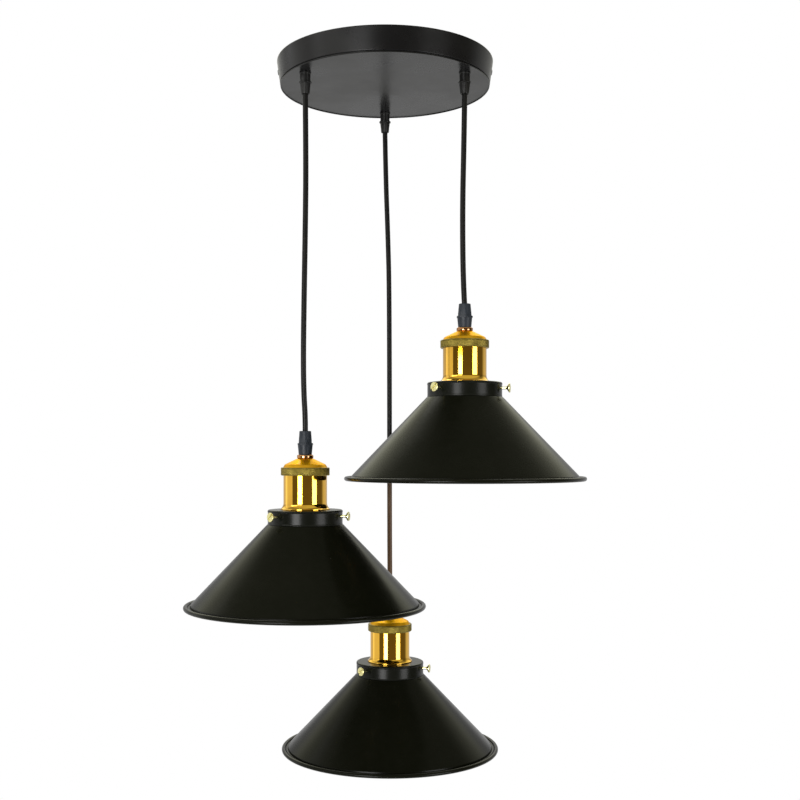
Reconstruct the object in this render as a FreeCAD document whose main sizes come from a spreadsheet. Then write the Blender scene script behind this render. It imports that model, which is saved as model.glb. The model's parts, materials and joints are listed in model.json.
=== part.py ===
import FreeCAD, Part
import Sketcher
import math
import os

# A pendant with three lamps: one round ceiling canopy, three cords of unequal length, and on each cord
# a brass screw holder with a black collar that carries a conical metal shade.
# The origin is the middle of the ceiling face, +Z is up, and the viewer stands on the -Y side.
# Heights inside a lamp count from the lower edge of its collar, those inside the canopy from the ceiling.

SIZES = {
    # Canopy: a dished steel cover
    "canopy_top_radius": 102.0,
    "canopy_height": 22.0,
    "canopy_wall": 1.0,
    "canopy_fold_radius": 1.8,
    "outlet_circle_radius": 84.0,
    "outlet_edge_distance": 15.0,
    # Strap that is screwed to the ceiling and carries the canopy by two side screws
    "bracket_width": 22.0,
    "bracket_thickness": 1.5,
    "bracket_ear_drop": 13.0,
    "bracket_ear_gap": 1.2,
    "supply_hole_radius": 8.0,
    "ceiling_slot_spacing": 70.0,
    "ceiling_slot_length": 14.0,
    "ceiling_slot_radius": 2.25,
    "side_screw_depth": 8.0,
    "side_screw_radius": 1.9,
    "side_screw_length": 6.0,
    "side_screw_head_radius": 3.0,
    "side_screw_head_height": 1.2,
    # Terminal block below the strap, its clamps and screws
    "block_end_gap": 15.5,
    "block_depth": 17.0,
    "block_height": 12.0,
    "block_floor": 1.8,
    "block_fixing_offset": 4.6,
    "block_first_way_offset": 12.4,
    "block_way_pitch": 8.6,
    "block_last_way_offset": 4.4,
    "clamp_radius": 2.5,
    "clamp_bore_radius": 1.7,
    "clamp_recess": 1.2,
    "clamp_screw_radius": 1.2,
    "clamp_screw_offset": 4.0,
    "clamp_screw_recess": 0.8,
    "bracket_screw_radius": 1.9,
    "bracket_screw_head_radius": 3.3,
    "bracket_screw_head_height": 2.2,
    "earth_screw_place": 18.0,
    "earth_lug_radius": 3.4,
    "tail_protrusion": 1.5,
    "core_layer_step": 2.4,
    # Cord grips in the canopy
    "outlet_grip_radius": 4.8,
    "outlet_grip_height": 8.4,
    "outlet_ridge_step": 0.9,
    "outlet_ridge_height": 1.4,
    "outlet_ridge_rounding": 0.4,
    "outlet_cap_height": 9.8,
    "outlet_cap_radius": 5.1,
    "outlet_tip_radius": 3.9,
    "outlet_mouth_radius": 3.35,
    "outlet_collet_radius": 3.75,
    "outlet_collet_height": 4.0,
    "outlet_stem_radius": 4.0,
    "outlet_stem_height": 7.5,
    "outlet_nut_radius": 6.5,
    "outlet_nut_height": 3.5,
    "pivot_depth": 0.8,
    # Cord
    "cord_radius": 2.5,
    "core_radius": 0.85,
    "core_offset": 1.15,
    # Drop of the highest lamp, from the ceiling to its collar's lower edge, and each next lamp's step down
    "right_drop": 318.0,
    "left_drop_step": 116.0,
    "back_drop_step": 161.0,
    "back_lean": 5.0,
    # Cord grip on a lamp
    "grip_foot_radius": 6.0,
    "grip_body_radius": 6.8,
    "grip_body_height": 9.0,
    "grip_ridge_step": 0.65,
    "grip_ridge_height": 1.6,
    "grip_ridge_rounding": 0.55,
    "grip_cap_radius": 6.35,
    "grip_tip_radius": 5.3,
    "grip_cap_height": 11.1,
    "grip_tip_rounding": 0.6,
    "grip_collet_radius": 4.3,
    "grip_collet_height": 6.0,
    "cord_insertion": 4.0,
    # Nipple and brass cap of the holder
    "nipple_bead_radius": 7.45,
    "nipple_bead_height": 3.6,
    "nipple_bead_rounding": 1.5,
    "nipple_thread_radius": 4.9,
    "nipple_bore_radius": 3.4,
    "nipple_reach": 5.4,
    "nipple_upper_reach": 6.5,
    "knurl_step": 2.4,
    "knurl_height": 7.3,
    "knurl_rounding": 0.6,
    "dome_step": 2.1,
    "dome_height": 8.0,
    "dome_neck_radius": 7.7,
    "dome_curve_radius": 18.0,
    "cap_wall": 0.9,
    "cap_shoulder_width": 1.0,
    # Barrel of the holder
    "barrel_radius": 19.9,
    "barrel_wall": 1.0,
    "barrel_height": 25.4,
    "flare_step": 2.7,
    "flare_height": 5.7,
    "flare_lip": 0.6,
    "skirt_step": 0.2,
    "skirt_reach": 3.5,
    # Porcelain insert, thread shell and contacts
    "insert_height": 36.0,
    "insert_web": 10.0,
    "insert_sink": 13.2,
    "shell_bore_radius": 13.3,
    "shell_wall": 0.7,
    "shell_headroom": 2.0,
    "shell_protrusion": 0.5,
    "contact_radius": 4.0,
    "contact_thickness": 0.8,
    "contact_stem_radius": 1.5,
    "rivet_head_radius": 2.4,
    "terminal_spacing": 19.0,
    "terminal_screw_radius": 1.6,
    "terminal_screw_length": 7.0,
    "terminal_head_radius": 2.9,
    "terminal_head_height": 1.8,
    "sheath_protrusion": 1.0,
    "core_straight": 3.5,
    "core_rise": 3.7,
    # Collar that holds the shade, and the ring nut that holds the collar
    "collar_gap": 1.25,
    "collar_height": 13.5,
    "collar_wall": 1.0,
    "collar_plate": 1.2,
    "collar_corner_radius": 1.6,
    "ring_nut_width": 5.8,
    "ring_nut_height": 4.5,
    # Thumb screws
    "thumb_height": 7.9,
    "thumb_shank_radius": 1.2,
    "thumb_head_radius": 4.2,
    "thumb_head_reach": 4.35,
    "thumb_head_cone": 2.2,
    "thumb_head_rim": 0.9,
    "thumb_slot_width": 0.9,
    "thumb_slot_depth": 0.9,
    "thumb_slot_overrun": 0.8,
    # Shade
    "shade_wall": 0.8,
    "shade_neck_radius": 32.0,
    "shade_neck_height": 10.5,
    "shade_shoulder_width": 2.9,
    "shade_cone_depth": 71.3,
    "shade_ledge_width": 7.0,
    "shade_ledge_drop": 2.9,
    "shade_radius": 110.0,
    "shade_bead_radius": 2.0,
    # Clearances
    "thread_clearance": 0.05,
    "slip_clearance": 0.2,
    "cord_clearance": 0.3,
    "outlet_cord_clearance": 0.4,
    "tip_clearance": 0.1,
}

# Azimuth of the first outlet on its circle, in degrees from +X, the step to the next, and their order
OUTLET_FIRST_ANGLE = 90.0
OUTLET_STEP_ANGLE = 120.0
OUTLET_ORDER = ("back", "left", "right")

# Azimuth of the first of the three thumb screws of a lamp, and the step to the next
THUMB_FIRST_ANGLE = 225.0
THUMB_STEP_ANGLE = 120.0
THUMB_COUNT = 3

# Where the shade's ledge and its inner face meet the round of the rolled bead, as parts of the bead's radius
LEDGE_MEETS_BEAD = (-0.6, 0.8)
INNER_FACE_MEETS_BEAD = (-0.96, 0.28)

# Rounding of a low screw head, as a share of its height
SCREW_HEAD_ROUNDING = 0.6

# Route of each hanging cord: how far down it a point lies, as a share of its length from the swing
# pivot to its end in the lamp's grip, and how far the cord stands to the right there, in mm
CORD_ROUTES = {
    "left": [(0, 0), (0.2, 0.2), (0.4, -0.8), (0.6, -1.9), (0.77, -2.6), (0.88, -2.1), (0.95, -0.3), (1, 0)],
    "right": [(0, 0), (0.25, 0.2), (0.5, -0.9), (0.75, -0.8), (0.92, -0.1), (1, 0)],
    "back": [(0, 0), (0.1, 0.1), (0.22, 1.8), (0.35, 3.4), (0.85, 3.7), (0.93, 4.1), (0.97, 4.9), (1, 5)],
}

doc = FreeCAD.newDocument("three_lamp_pendant")
node_objects = []
radii_report = []


class Size:
    """A length held twice: its value in mm, and the formula of named sizes that gives it."""

    def __init__(self, value, formula):
        self.value = value
        self.formula = formula

    def __add__(self, other):
        return joined(self, other, "+", self.value + value_of(other))

    def __sub__(self, other):
        return joined(self, other, "-", self.value - value_of(other))

    def __mul__(self, other):
        return joined(self, other, "*", self.value * value_of(other))

    def __truediv__(self, other):
        return joined(self, other, "/", self.value / value_of(other))

    def __neg__(self):
        return Size(-self.value, "(-1 * " + self.formula + ")")


def value_of(number):
    """The plain value of a Size or of a number."""
    return number.value if isinstance(number, Size) else float(number)


def formula_of(number):
    """The formula of a Size, or a number written out."""
    return number.formula if isinstance(number, Size) else "(" + repr(float(number)) + ")"


def joined(first, second, sign, value):
    return Size(value, "(" + formula_of(first) + " " + sign + " " + formula_of(second) + ")")


def root_of(number):
    return Size(math.sqrt(number.value), "sqrt(" + number.formula + ")")


def smaller_of(first, second):
    return Size(min(first.value, second.value), "min(" + first.formula + "; " + second.formula + ")")


def larger_of(first, second):
    return Size(max(first.value, second.value), "max(" + first.formula + "; " + second.formula + ")")


class NamedSizes:
    """The driving sizes by name, once they are in the sheet."""

    def __init__(self, values):
        for name, value in values.items():
            setattr(self, name, Size(float(value), "Sizes." + name))


def fill_sheet():
    sheet = doc.addObject("Spreadsheet::Sheet", "Sizes")
    for row, (name, value) in enumerate(SIZES.items(), start=1):
        sheet.set("A" + str(row), name)
        sheet.set("B" + str(row), str(value))
        sheet.setAlias("B" + str(row), name)
    doc.recompute()
    return NamedSizes(SIZES)


d = fill_sheet()


class Corner:
    """One corner of an outline, with an optional rounding, or an arc that runs on to the next corner.

    bulge is the arc's radius; side is +1 where the arc's centre lies left of the way to the next corner
    and -1 where it lies right; large picks the longer way round.
    """

    def __init__(self, across, up, rounding=None, bulge=None, side=1, large=False):
        self.across = across
        self.up = up
        self.rounding = rounding
        self.bulge = bulge
        self.side = side
        self.large = large

    def place(self):
        return FreeCAD.Vector(value_of(self.across), value_of(self.up), 0)


def bind(sketch, constraint, name, number):
    """Adds a constraint under a name and ties it to its formula."""
    index = sketch.addConstraint(constraint)
    sketch.renameConstraint(index, name)
    if isinstance(number, Size):
        sketch.setExpression("Constraints." + name, number.formula)


def pin_point(sketch, geometry, end, tag, across, up):
    """Holds one point at its distances from the sketch's origin."""
    bind(sketch, Sketcher.Constraint("DistanceX", -1, 1, geometry, end, value_of(across)), "x" + tag, across)
    bind(sketch, Sketcher.Constraint("DistanceY", -1, 1, geometry, end, value_of(up)), "y" + tag, up)


def arc_between(start, end, radius, side, large):
    """The arc from start to end, and whether it runs anticlockwise."""
    middle = (start + end) * 0.5
    chord = end - start
    left = FreeCAD.Vector(-chord.y, chord.x, 0)
    left.normalize()
    reach = math.sqrt(max(radius * radius - chord.Length * chord.Length / 4.0, 0.0))
    centre = middle + left * (reach * side)
    anticlockwise = (side > 0) != large
    first, last = (start, end) if anticlockwise else (end, start)
    begin = math.atan2(first.y - centre.y, first.x - centre.x)
    finish = math.atan2(last.y - centre.y, last.x - centre.x)
    if finish < begin:
        finish += 2 * math.pi
    circle = Part.Circle(centre, FreeCAD.Vector(0, 0, 1), radius)
    return Part.ArcOfCircle(circle, begin, finish), anticlockwise


def rounding_arc(before, corner, after, radius):
    """The two tangent points and the arc that rounds a corner with the given radius."""
    back = (before - corner).normalize()
    ahead = (after - corner).normalize()
    half = back.getAngle(ahead) / 2.0
    setback = radius / math.tan(half)
    start = corner + back * setback
    end = corner + ahead * setback
    side = 1 if (corner - start).cross(end - corner).z > 0 else -1
    arc, anticlockwise = arc_between(start, end, radius, side, False)
    return start, end, arc, anticlockwise


def draw_outline(sketch, corners):
    """Draws a closed outline whose every corner is tied to the named sizes."""
    count = len(corners)
    places = [corner.place() for corner in corners]
    leave = list(places)
    arrive = list(places)
    roundings = {}
    for i, corner in enumerate(corners):
        if corner.rounding is not None:
            radius = value_of(corner.rounding)
            after = places[(i + 1) % count]
            start, end, arc, turn = rounding_arc(places[i - 1], places[i], after, radius)
            arrive[i] = start
            leave[i] = end
            roundings[i] = (arc, turn)
    sides = []
    for i, corner in enumerate(corners):
        following = (i + 1) % count
        if corner.bulge is None:
            index = sketch.addGeometry(Part.LineSegment(leave[i], arrive[following]), False)
            sides.append((index, 1, 2))
        else:
            bulge = value_of(corner.bulge)
            arc, turn = arc_between(leave[i], arrive[following], bulge, corner.side, corner.large)
            index = sketch.addGeometry(arc, False)
            sides.append((index, 1, 2) if turn else (index, 2, 1))
            bind(sketch, Sketcher.Constraint("Radius", index, bulge), "bulge" + str(i), corner.bulge)
    for i, corner in enumerate(corners):
        incoming = sides[i - 1]
        outgoing = sides[i]
        if i not in roundings:
            joint = Sketcher.Constraint("Coincident", incoming[0], incoming[2], outgoing[0], outgoing[1])
            sketch.addConstraint(joint)
            pin_point(sketch, outgoing[0], outgoing[1], str(i), corner.across, corner.up)
            continue
        arc, turn = roundings[i]
        index = sketch.addGeometry(arc, False)
        first, last = (1, 2) if turn else (2, 1)
        point = sketch.addGeometry(Part.Point(places[i]), True)
        pin_point(sketch, point, 1, str(i), corner.across, corner.up)
        sketch.addConstraint(Sketcher.Constraint("PointOnObject", point, 1, incoming[0]))
        sketch.addConstraint(Sketcher.Constraint("PointOnObject", point, 1, outgoing[0]))
        sketch.addConstraint(Sketcher.Constraint("Tangent", incoming[0], incoming[2], index, first))
        sketch.addConstraint(Sketcher.Constraint("Tangent", index, last, outgoing[0], outgoing[1]))
        rounding = value_of(corner.rounding)
        bind(sketch, Sketcher.Constraint("Radius", index, rounding), "round" + str(i), corner.rounding)


def draw_circle(sketch, tag, across, up, radius):
    centre = FreeCAD.Vector(value_of(across), value_of(up), 0)
    circle = Part.Circle(centre, FreeCAD.Vector(0, 0, 1), value_of(radius))
    index = sketch.addGeometry(circle, False)
    bind(sketch, Sketcher.Constraint("Radius", index, value_of(radius)), "radius" + tag, radius)
    pin_point(sketch, index, 3, tag, across, up)


def box_corners(low_x, low_y, high_x, high_y):
    return [Corner(low_x, low_y), Corner(high_x, low_y), Corner(high_x, high_y), Corner(low_x, high_y)]


def draw_slot(sketch, centre, reach, radius):
    """A slot along x with round ends; reach is how far each end's centre lies from the slot's."""
    middle = value_of(centre)
    far = value_of(reach)
    r = value_of(radius)
    up = FreeCAD.Vector(0, 0, 1)
    right = Part.Circle(FreeCAD.Vector(middle + far, 0, 0), up, r)
    left = Part.Circle(FreeCAD.Vector(middle - far, 0, 0), up, r)
    right_end = sketch.addGeometry(Part.ArcOfCircle(right, -math.pi / 2, math.pi / 2), False)
    left_end = sketch.addGeometry(Part.ArcOfCircle(left, math.pi / 2, 3 * math.pi / 2), False)
    lower = sketch.addGeometry(
        Part.LineSegment(FreeCAD.Vector(middle - far, -r, 0), FreeCAD.Vector(middle + far, -r, 0)), False)
    upper = sketch.addGeometry(
        Part.LineSegment(FreeCAD.Vector(middle + far, r, 0), FreeCAD.Vector(middle - far, r, 0)), False)
    for first, end, second, start in (
            (lower, 2, right_end, 1), (right_end, 2, upper, 1), (upper, 2, left_end, 1), (left_end, 2, lower, 1)):
        sketch.addConstraint(Sketcher.Constraint("Tangent", first, end, second, start))
    bind(sketch, Sketcher.Constraint("Radius", right_end, r), "radius", radius)
    sketch.addConstraint(Sketcher.Constraint("Equal", right_end, left_end))
    pin_point(sketch, right_end, 3, "right", centre + reach, 0)
    pin_point(sketch, left_end, 3, "left", centre - reach, 0)


def origin_part(body, role):
    return next(item for item in body.Origin.OriginFeatures if item.Role == role)


def new_body(label):
    body = doc.addObject("PartDesign::Body", label)
    body.Label = label
    return body


def new_sketch(body, name, role, height=None):
    """A sketch on one of the body's origin planes, or at a height above it."""
    sketch = body.newObject("Sketcher::SketchObject", body.Name + "_" + name)
    sketch.AttachmentSupport = [(origin_part(body, role), "")]
    sketch.MapMode = "FlatFace"
    if height is not None:
        lift = FreeCAD.Vector(0, 0, value_of(height))
        sketch.AttachmentOffset = FreeCAD.Placement(lift, FreeCAD.Rotation())
        sketch.setExpression("AttachmentOffset.Base.z", formula_of(height))
    return sketch


def put(item, across=0.0, along=0.0, up=0.0, turn=None):
    """Places an object; each coordinate follows its formula."""
    spot = FreeCAD.Vector(value_of(across), value_of(along), value_of(up))
    item.Placement = FreeCAD.Placement(spot, turn or FreeCAD.Rotation())
    for axis, number in (("x", across), ("y", along), ("z", up)):
        if isinstance(number, Size):
            item.setExpression("Placement.Base." + axis, number.formula)


def turned(label, corners):
    """A body of revolution: the outline, as radius and height, turned about the upright axis."""
    body = new_body(label)
    sketch = new_sketch(body, "outline", "XZ_Plane")
    draw_outline(sketch, corners)
    turn = body.newObject("PartDesign::Revolution", label + "_turn")
    turn.Profile = sketch
    turn.ReferenceAxis = (sketch, ["V_Axis"])
    turn.Angle = 360
    body.Tip = turn
    return body


def pad(body, name, role, corners, length, both_ways=False, height=None):
    """Gives an outline a thickness."""
    sketch = new_sketch(body, name, role, height)
    draw_outline(sketch, corners)
    feature = body.newObject("PartDesign::Pad", body.Name + "_" + name + "_pad")
    feature.Profile = sketch
    feature.Length = value_of(length)
    feature.setExpression("Length", formula_of(length))
    feature.Midplane = both_ways
    body.Tip = feature
    return feature


def cut(body, name, role, draw, length=None, height=None, both_ways=False, backwards=False):
    """Cuts what draw puts in a sketch, to a depth or right through, and makes sure that something was cut."""
    doc.recompute()
    before = body.Shape.Volume
    sketch = new_sketch(body, name, role, height)
    draw(sketch)
    feature = body.newObject("PartDesign::Pocket", body.Name + "_" + name + "_cut")
    feature.Profile = sketch
    if length is None:
        feature.Type = "ThroughAll"
    else:
        feature.Length = value_of(length)
        feature.setExpression("Length", formula_of(length))
    feature.Midplane = both_ways
    feature.Reversed = backwards
    body.Tip = feature
    doc.recompute()
    if body.Shape.Volume > before - 1e-6:
        raise RuntimeError(body.Label + ": " + name + " cuts nothing")
    return feature


def polar(body, feature, count):
    pattern = body.newObject("PartDesign::PolarPattern", feature.Name + "_round")
    pattern.Originals = [feature]
    pattern.Axis = (origin_part(body, "Z_Axis"), [""])
    pattern.Angle = 360
    pattern.Occurrences = count
    body.Tip = pattern
    return pattern


def group(label, members):
    """One node that holds several separate solids."""
    compound = doc.addObject("Part::Compound", label)
    compound.Label = label
    compound.Links = members
    return compound


def node(item):
    node_objects.append(item)
    return item


def outlet(side):
    """Where the cord of one lamp leaves the canopy, in plan."""
    angle = math.radians(OUTLET_FIRST_ANGLE + OUTLET_STEP_ANGLE * OUTLET_ORDER.index(side))
    return d.outlet_circle_radius * math.cos(angle), d.outlet_circle_radius * math.sin(angle)


# Radii and heights in the canopy, the heights from the ceiling
canopy_bottom_radius = d.outlet_circle_radius + d.outlet_edge_distance
canopy_floor = -d.canopy_height
outlet_ridge_top = canopy_floor - d.outlet_grip_height
outlet_ridge_bottom = outlet_ridge_top - d.outlet_ridge_height
outlet_mouth = outlet_ridge_bottom - d.outlet_cap_height
pivot_height = outlet_mouth + d.pivot_depth
outlet_bore_radius = d.cord_radius + d.outlet_cord_clearance
outlet_stem_top = canopy_floor + d.outlet_stem_height

# Radii and heights in a lamp, the heights from the lower edge of the collar
collar_inside = d.shade_neck_radius + d.collar_gap
collar_radius = collar_inside + d.collar_wall
skirt_radius = d.barrel_radius - d.skirt_step
knurl_radius = d.barrel_radius + d.knurl_step
dome_radius = knurl_radius - d.dome_step
barrel_bottom = d.collar_height + d.flare_height
cap_bottom = barrel_bottom + d.barrel_height
cap_overlap = d.knurl_height - d.cap_wall - d.slip_clearance
dome_bottom = cap_bottom + d.knurl_height
dome_top = dome_bottom + d.dome_height
bead_top = dome_top + d.nipple_bead_height
ridge_bottom = bead_top + d.grip_body_height
ridge_top = ridge_bottom + d.grip_ridge_height
grip_top = ridge_top + d.grip_cap_height
cord_end = grip_top - d.cord_insertion
insert_bottom = barrel_bottom - d.insert_sink
insert_top = insert_bottom + d.insert_height
cavity_top = insert_top - d.insert_web
barrel_bore_radius = d.barrel_radius - d.barrel_wall
shell_radius = d.shell_bore_radius + d.shell_wall
grip_bore_radius = d.cord_radius + d.cord_clearance

drops = {
    "left": d.right_drop + d.left_drop_step,
    "right": d.right_drop,
    "back": d.right_drop + d.left_drop_step + d.back_drop_step,
}


def canopy_wall_radius(depth):
    """Outer radius of the sloping canopy wall at a depth below the ceiling."""
    return d.canopy_top_radius - (d.canopy_top_radius - canopy_bottom_radius) * depth / d.canopy_height


# Half the strap's length: it keeps its gap to the wall where that is narrower, above or below its ears
bracket_reach = smaller_of(d.canopy_top_radius, canopy_wall_radius(d.bracket_ear_drop)) \
    - d.canopy_wall - d.bracket_ear_gap

# Terminal block, from its inner end
block_top = -d.bracket_thickness
block_middle = block_top - d.block_height / 2
block_length = d.block_first_way_offset + d.block_way_pitch * 2 + d.block_last_way_offset
block_start = bracket_reach - d.bracket_thickness - d.block_end_gap - block_length
block_fixing_place = block_start + d.block_fixing_offset
block_ways = {
    "live": block_start + d.block_first_way_offset,
    "neutral": block_start + d.block_first_way_offset + d.block_way_pitch,
    "earth": block_start + d.block_first_way_offset + d.block_way_pitch * 2,
}


# Canopy and what it holds

def canopy_cover():
    """A shallow dish, open to the ceiling, with three outlets in its floor and a screw hole on each side."""
    wall = d.canopy_wall
    body = turned("canopy_cover", [
        Corner(0, canopy_floor),
        Corner(canopy_bottom_radius, canopy_floor, rounding=d.canopy_fold_radius),
        Corner(d.canopy_top_radius, 0),
        Corner(d.canopy_top_radius - wall, 0),
        Corner(canopy_bottom_radius - wall, canopy_floor + wall, rounding=d.canopy_fold_radius - wall),
        Corner(0, canopy_floor + wall),
    ])
    hole_radius = d.outlet_stem_radius + d.slip_clearance
    first = cut(body, "outlet", "XY_Plane",
                lambda sketch: draw_circle(sketch, "a", 0, d.outlet_circle_radius, hole_radius))
    polar(body, first, len(OUTLET_ORDER))
    side_radius = d.side_screw_radius + d.slip_clearance
    cut(body, "side_hole", "YZ_Plane",
        lambda sketch: draw_circle(sketch, "a", 0, -d.side_screw_depth, side_radius), both_ways=True)
    return node(body)


def mounting_bracket():
    """A steel strap with bent ears, screwed to the ceiling through two slots."""
    thick = d.bracket_thickness
    drop = -d.bracket_ear_drop
    reach = bracket_reach
    body = new_body("mounting_bracket")
    pad(body, "strap", "XZ_Plane", [
        Corner(-reach, 0),
        Corner(-reach, drop),
        Corner(-reach + thick, drop),
        Corner(-reach + thick, -thick),
        Corner(reach - thick, -thick),
        Corner(reach - thick, drop),
        Corner(reach, drop),
        Corner(reach, 0),
    ], d.bracket_width, both_ways=True)
    thread = d.bracket_screw_radius + d.thread_clearance
    holes = (
        ("supply_hole", Size(0.0, "0"), d.supply_hole_radius),
        ("block_thread", block_fixing_place, thread),
        ("earth_thread", d.earth_screw_place, thread),
    )
    for name, place, radius in holes:
        cut(body, name, "XY_Plane", lambda sketch: draw_circle(sketch, "a", place, 0, radius))
    half_spacing = d.ceiling_slot_spacing / 2
    slot_reach = d.ceiling_slot_length / 2 - d.ceiling_slot_radius
    for name, place in (("left_slot", -half_spacing), ("right_slot", half_spacing)):
        cut(body, name, "XY_Plane", lambda sketch: draw_slot(sketch, place, slot_reach, d.ceiling_slot_radius))
    ear_thread = d.side_screw_radius + d.thread_clearance
    cut(body, "ear_thread", "YZ_Plane",
        lambda sketch: draw_circle(sketch, "a", 0, -d.side_screw_depth, ear_thread), both_ways=True)
    return node(body)


def headed_screw(label, radius, length, head_radius, head_height):
    """A screw with a low round head: its shank points down from height 0 and its head stands above."""
    return turned(label, [
        Corner(0, -length),
        Corner(radius, -length),
        Corner(radius, 0),
        Corner(head_radius, 0),
        Corner(head_radius, head_height, rounding=head_height * SCREW_HEAD_ROUNDING),
        Corner(0, head_height),
    ])


def canopy_side_screws():
    """Two low-headed screws that pass through the canopy's wall into the strap's ears."""
    upper = canopy_wall_radius(d.side_screw_depth - d.side_screw_head_radius)
    lower = canopy_wall_radius(d.side_screw_depth + d.side_screw_head_radius)
    reach = larger_of(upper, lower) + d.thread_clearance
    screws = []
    for name, place, tilt in (("left_side_screw", -reach, -90), ("right_side_screw", reach, 90)):
        screw = headed_screw(name, d.side_screw_radius, d.side_screw_length,
                             d.side_screw_head_radius, d.side_screw_head_height)
        put(screw, place, 0, -d.side_screw_depth, FreeCAD.Rotation(FreeCAD.Vector(0, 1, 0), tilt))
        screws.append(screw)
    return node(group("canopy_side_screws", screws))


def terminal_block():
    """A nylon block with three cross bores for the clamps, screw holes from below and one fixing screw."""
    bottom = block_top - d.block_height
    body = new_body("terminal_block")
    pad(body, "block", "XZ_Plane",
        box_corners(block_start, bottom, block_start + block_length, block_top),
        d.block_depth, both_ways=True)
    bore = d.clamp_radius + d.thread_clearance
    screw_hole = d.clamp_screw_radius + d.slip_clearance

    def draw_bores(sketch):
        for way, place in block_ways.items():
            draw_circle(sketch, way, place, block_middle, bore)

    def draw_screw_holes(sketch):
        for way, place in block_ways.items():
            draw_circle(sketch, way + "_front", place, -d.clamp_screw_offset, screw_hole)
            draw_circle(sketch, way + "_rear", place, d.clamp_screw_offset, screw_hole)

    cut(body, "bores", "XZ_Plane", draw_bores, both_ways=True)
    cut(body, "screw_holes", "XY_Plane", draw_screw_holes, height=block_middle)
    shank_hole = d.bracket_screw_radius + d.slip_clearance
    head_hole = d.bracket_screw_head_radius + d.slip_clearance
    cut(body, "fixing", "XY_Plane",
        lambda sketch: draw_circle(sketch, "a", block_fixing_place, 0, shank_hole))
    cut(body, "counterbore", "XY_Plane",
        lambda sketch: draw_circle(sketch, "a", block_fixing_place, 0, head_hole),
        height=block_top - d.block_floor)
    return node(body)


def terminal_clamps():
    """Three brass tubes that lie across the block, each with two screw holes in its underside."""
    length = d.block_depth - d.clamp_recess * 2
    hole = d.clamp_screw_radius + d.thread_clearance
    clamps = []
    for way, place in block_ways.items():
        clamp = turned(way + "_clamp", [
            Corner(d.clamp_bore_radius, -(length / 2)),
            Corner(d.clamp_radius, -(length / 2)),
            Corner(d.clamp_radius, length / 2),
            Corner(d.clamp_bore_radius, length / 2),
        ])

        def draw_holes(sketch):
            draw_circle(sketch, "front", 0, -d.clamp_screw_offset, hole)
            draw_circle(sketch, "rear", 0, d.clamp_screw_offset, hole)

        cut(clamp, "screw_holes", "XZ_Plane", draw_holes, backwards=True)
        put(clamp, place, 0, block_middle, FreeCAD.Rotation(FreeCAD.Vector(1, 0, 0), 90))
        clamps.append(clamp)
    return node(group("terminal_clamps", clamps))


def terminal_screws():
    """Six headless screws that press the conductors in the clamps from below."""
    top = block_middle - d.clamp_bore_radius
    low = block_top - d.block_height + d.clamp_screw_recess
    screws = []
    for way, place in block_ways.items():
        for row, along in (("front", -d.clamp_screw_offset), ("rear", d.clamp_screw_offset)):
            screw = turned(way + "_" + row + "_terminal_screw", [
                Corner(0, low),
                Corner(d.clamp_screw_radius, low),
                Corner(d.clamp_screw_radius, top),
                Corner(0, top),
            ])
            put(screw, place, along, 0)
            screws.append(screw)
    return node(group("terminal_screws", screws))


def bracket_screws():
    """Two alike: one holds the terminal block under the strap, the other clamps the earth lug."""
    length = d.block_floor + d.bracket_thickness - d.slip_clearance
    screws = []
    for name, place in (("block_screw", block_fixing_place), ("earth_screw", d.earth_screw_place)):
        screw = headed_screw(name, d.bracket_screw_radius, length,
                             d.bracket_screw_head_radius, d.bracket_screw_head_height)
        put(screw, place, 0, block_top - d.block_floor, FreeCAD.Rotation(FreeCAD.Vector(1, 0, 0), 180))
        screws.append(screw)
    return node(group("bracket_screws", screws))


def outlet_grip(side):
    """The body of a canopy cord grip: a threaded stem through the canopy, a barrel and a ridge below it."""
    collet_end = outlet_ridge_bottom - d.outlet_collet_height
    ridge_radius = d.outlet_grip_radius + d.outlet_ridge_step
    body = turned(side + "_outlet_grip", [
        Corner(outlet_bore_radius, outlet_stem_top),
        Corner(outlet_bore_radius, collet_end),
        Corner(d.outlet_collet_radius, collet_end),
        Corner(d.outlet_collet_radius, outlet_ridge_bottom),
        Corner(ridge_radius, outlet_ridge_bottom, rounding=d.outlet_ridge_rounding),
        Corner(ridge_radius, outlet_ridge_top, rounding=d.outlet_ridge_rounding),
        Corner(d.outlet_grip_radius, outlet_ridge_top),
        Corner(d.outlet_grip_radius, canopy_floor),
        Corner(d.outlet_stem_radius, canopy_floor),
        Corner(d.outlet_stem_radius, outlet_stem_top),
    ])
    put(body, *outlet(side), 0)
    return body


def outlet_cap(side):
    """The cap of a canopy cord grip, bell-mouthed so that the cord can swing."""
    collet_end = outlet_ridge_bottom - d.outlet_collet_height - d.slip_clearance
    collet_bore = d.outlet_collet_radius + d.tip_clearance
    body = turned(side + "_outlet_cap", [
        Corner(collet_bore, outlet_ridge_bottom),
        Corner(collet_bore, collet_end),
        Corner(outlet_bore_radius, collet_end),
        Corner(outlet_bore_radius, pivot_height),
        Corner(d.outlet_mouth_radius, outlet_mouth),
        Corner(d.outlet_tip_radius, outlet_mouth),
        Corner(d.outlet_cap_radius, outlet_ridge_bottom),
    ])
    put(body, *outlet(side), 0)
    return body


def hexagon(reach):
    """The six corners of a hexagon whose corners lie at a radius."""
    return [
        Corner(reach * math.cos(math.radians(60 * step)), reach * math.sin(math.radians(60 * step)))
        for step in range(6)
    ]


def outlet_nut(side):
    """The hexagon nut on a grip's stem, inside the canopy."""
    body = new_body(side + "_outlet_nut")
    pad(body, "hexagon", "XY_Plane", hexagon(d.outlet_nut_radius), d.outlet_nut_height,
        height=canopy_floor + d.canopy_wall)
    thread = d.outlet_stem_radius + d.thread_clearance
    cut(body, "thread", "XY_Plane", lambda sketch: draw_circle(sketch, "a", 0, 0, thread))
    put(body, *outlet(side), 0)
    return body


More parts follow.
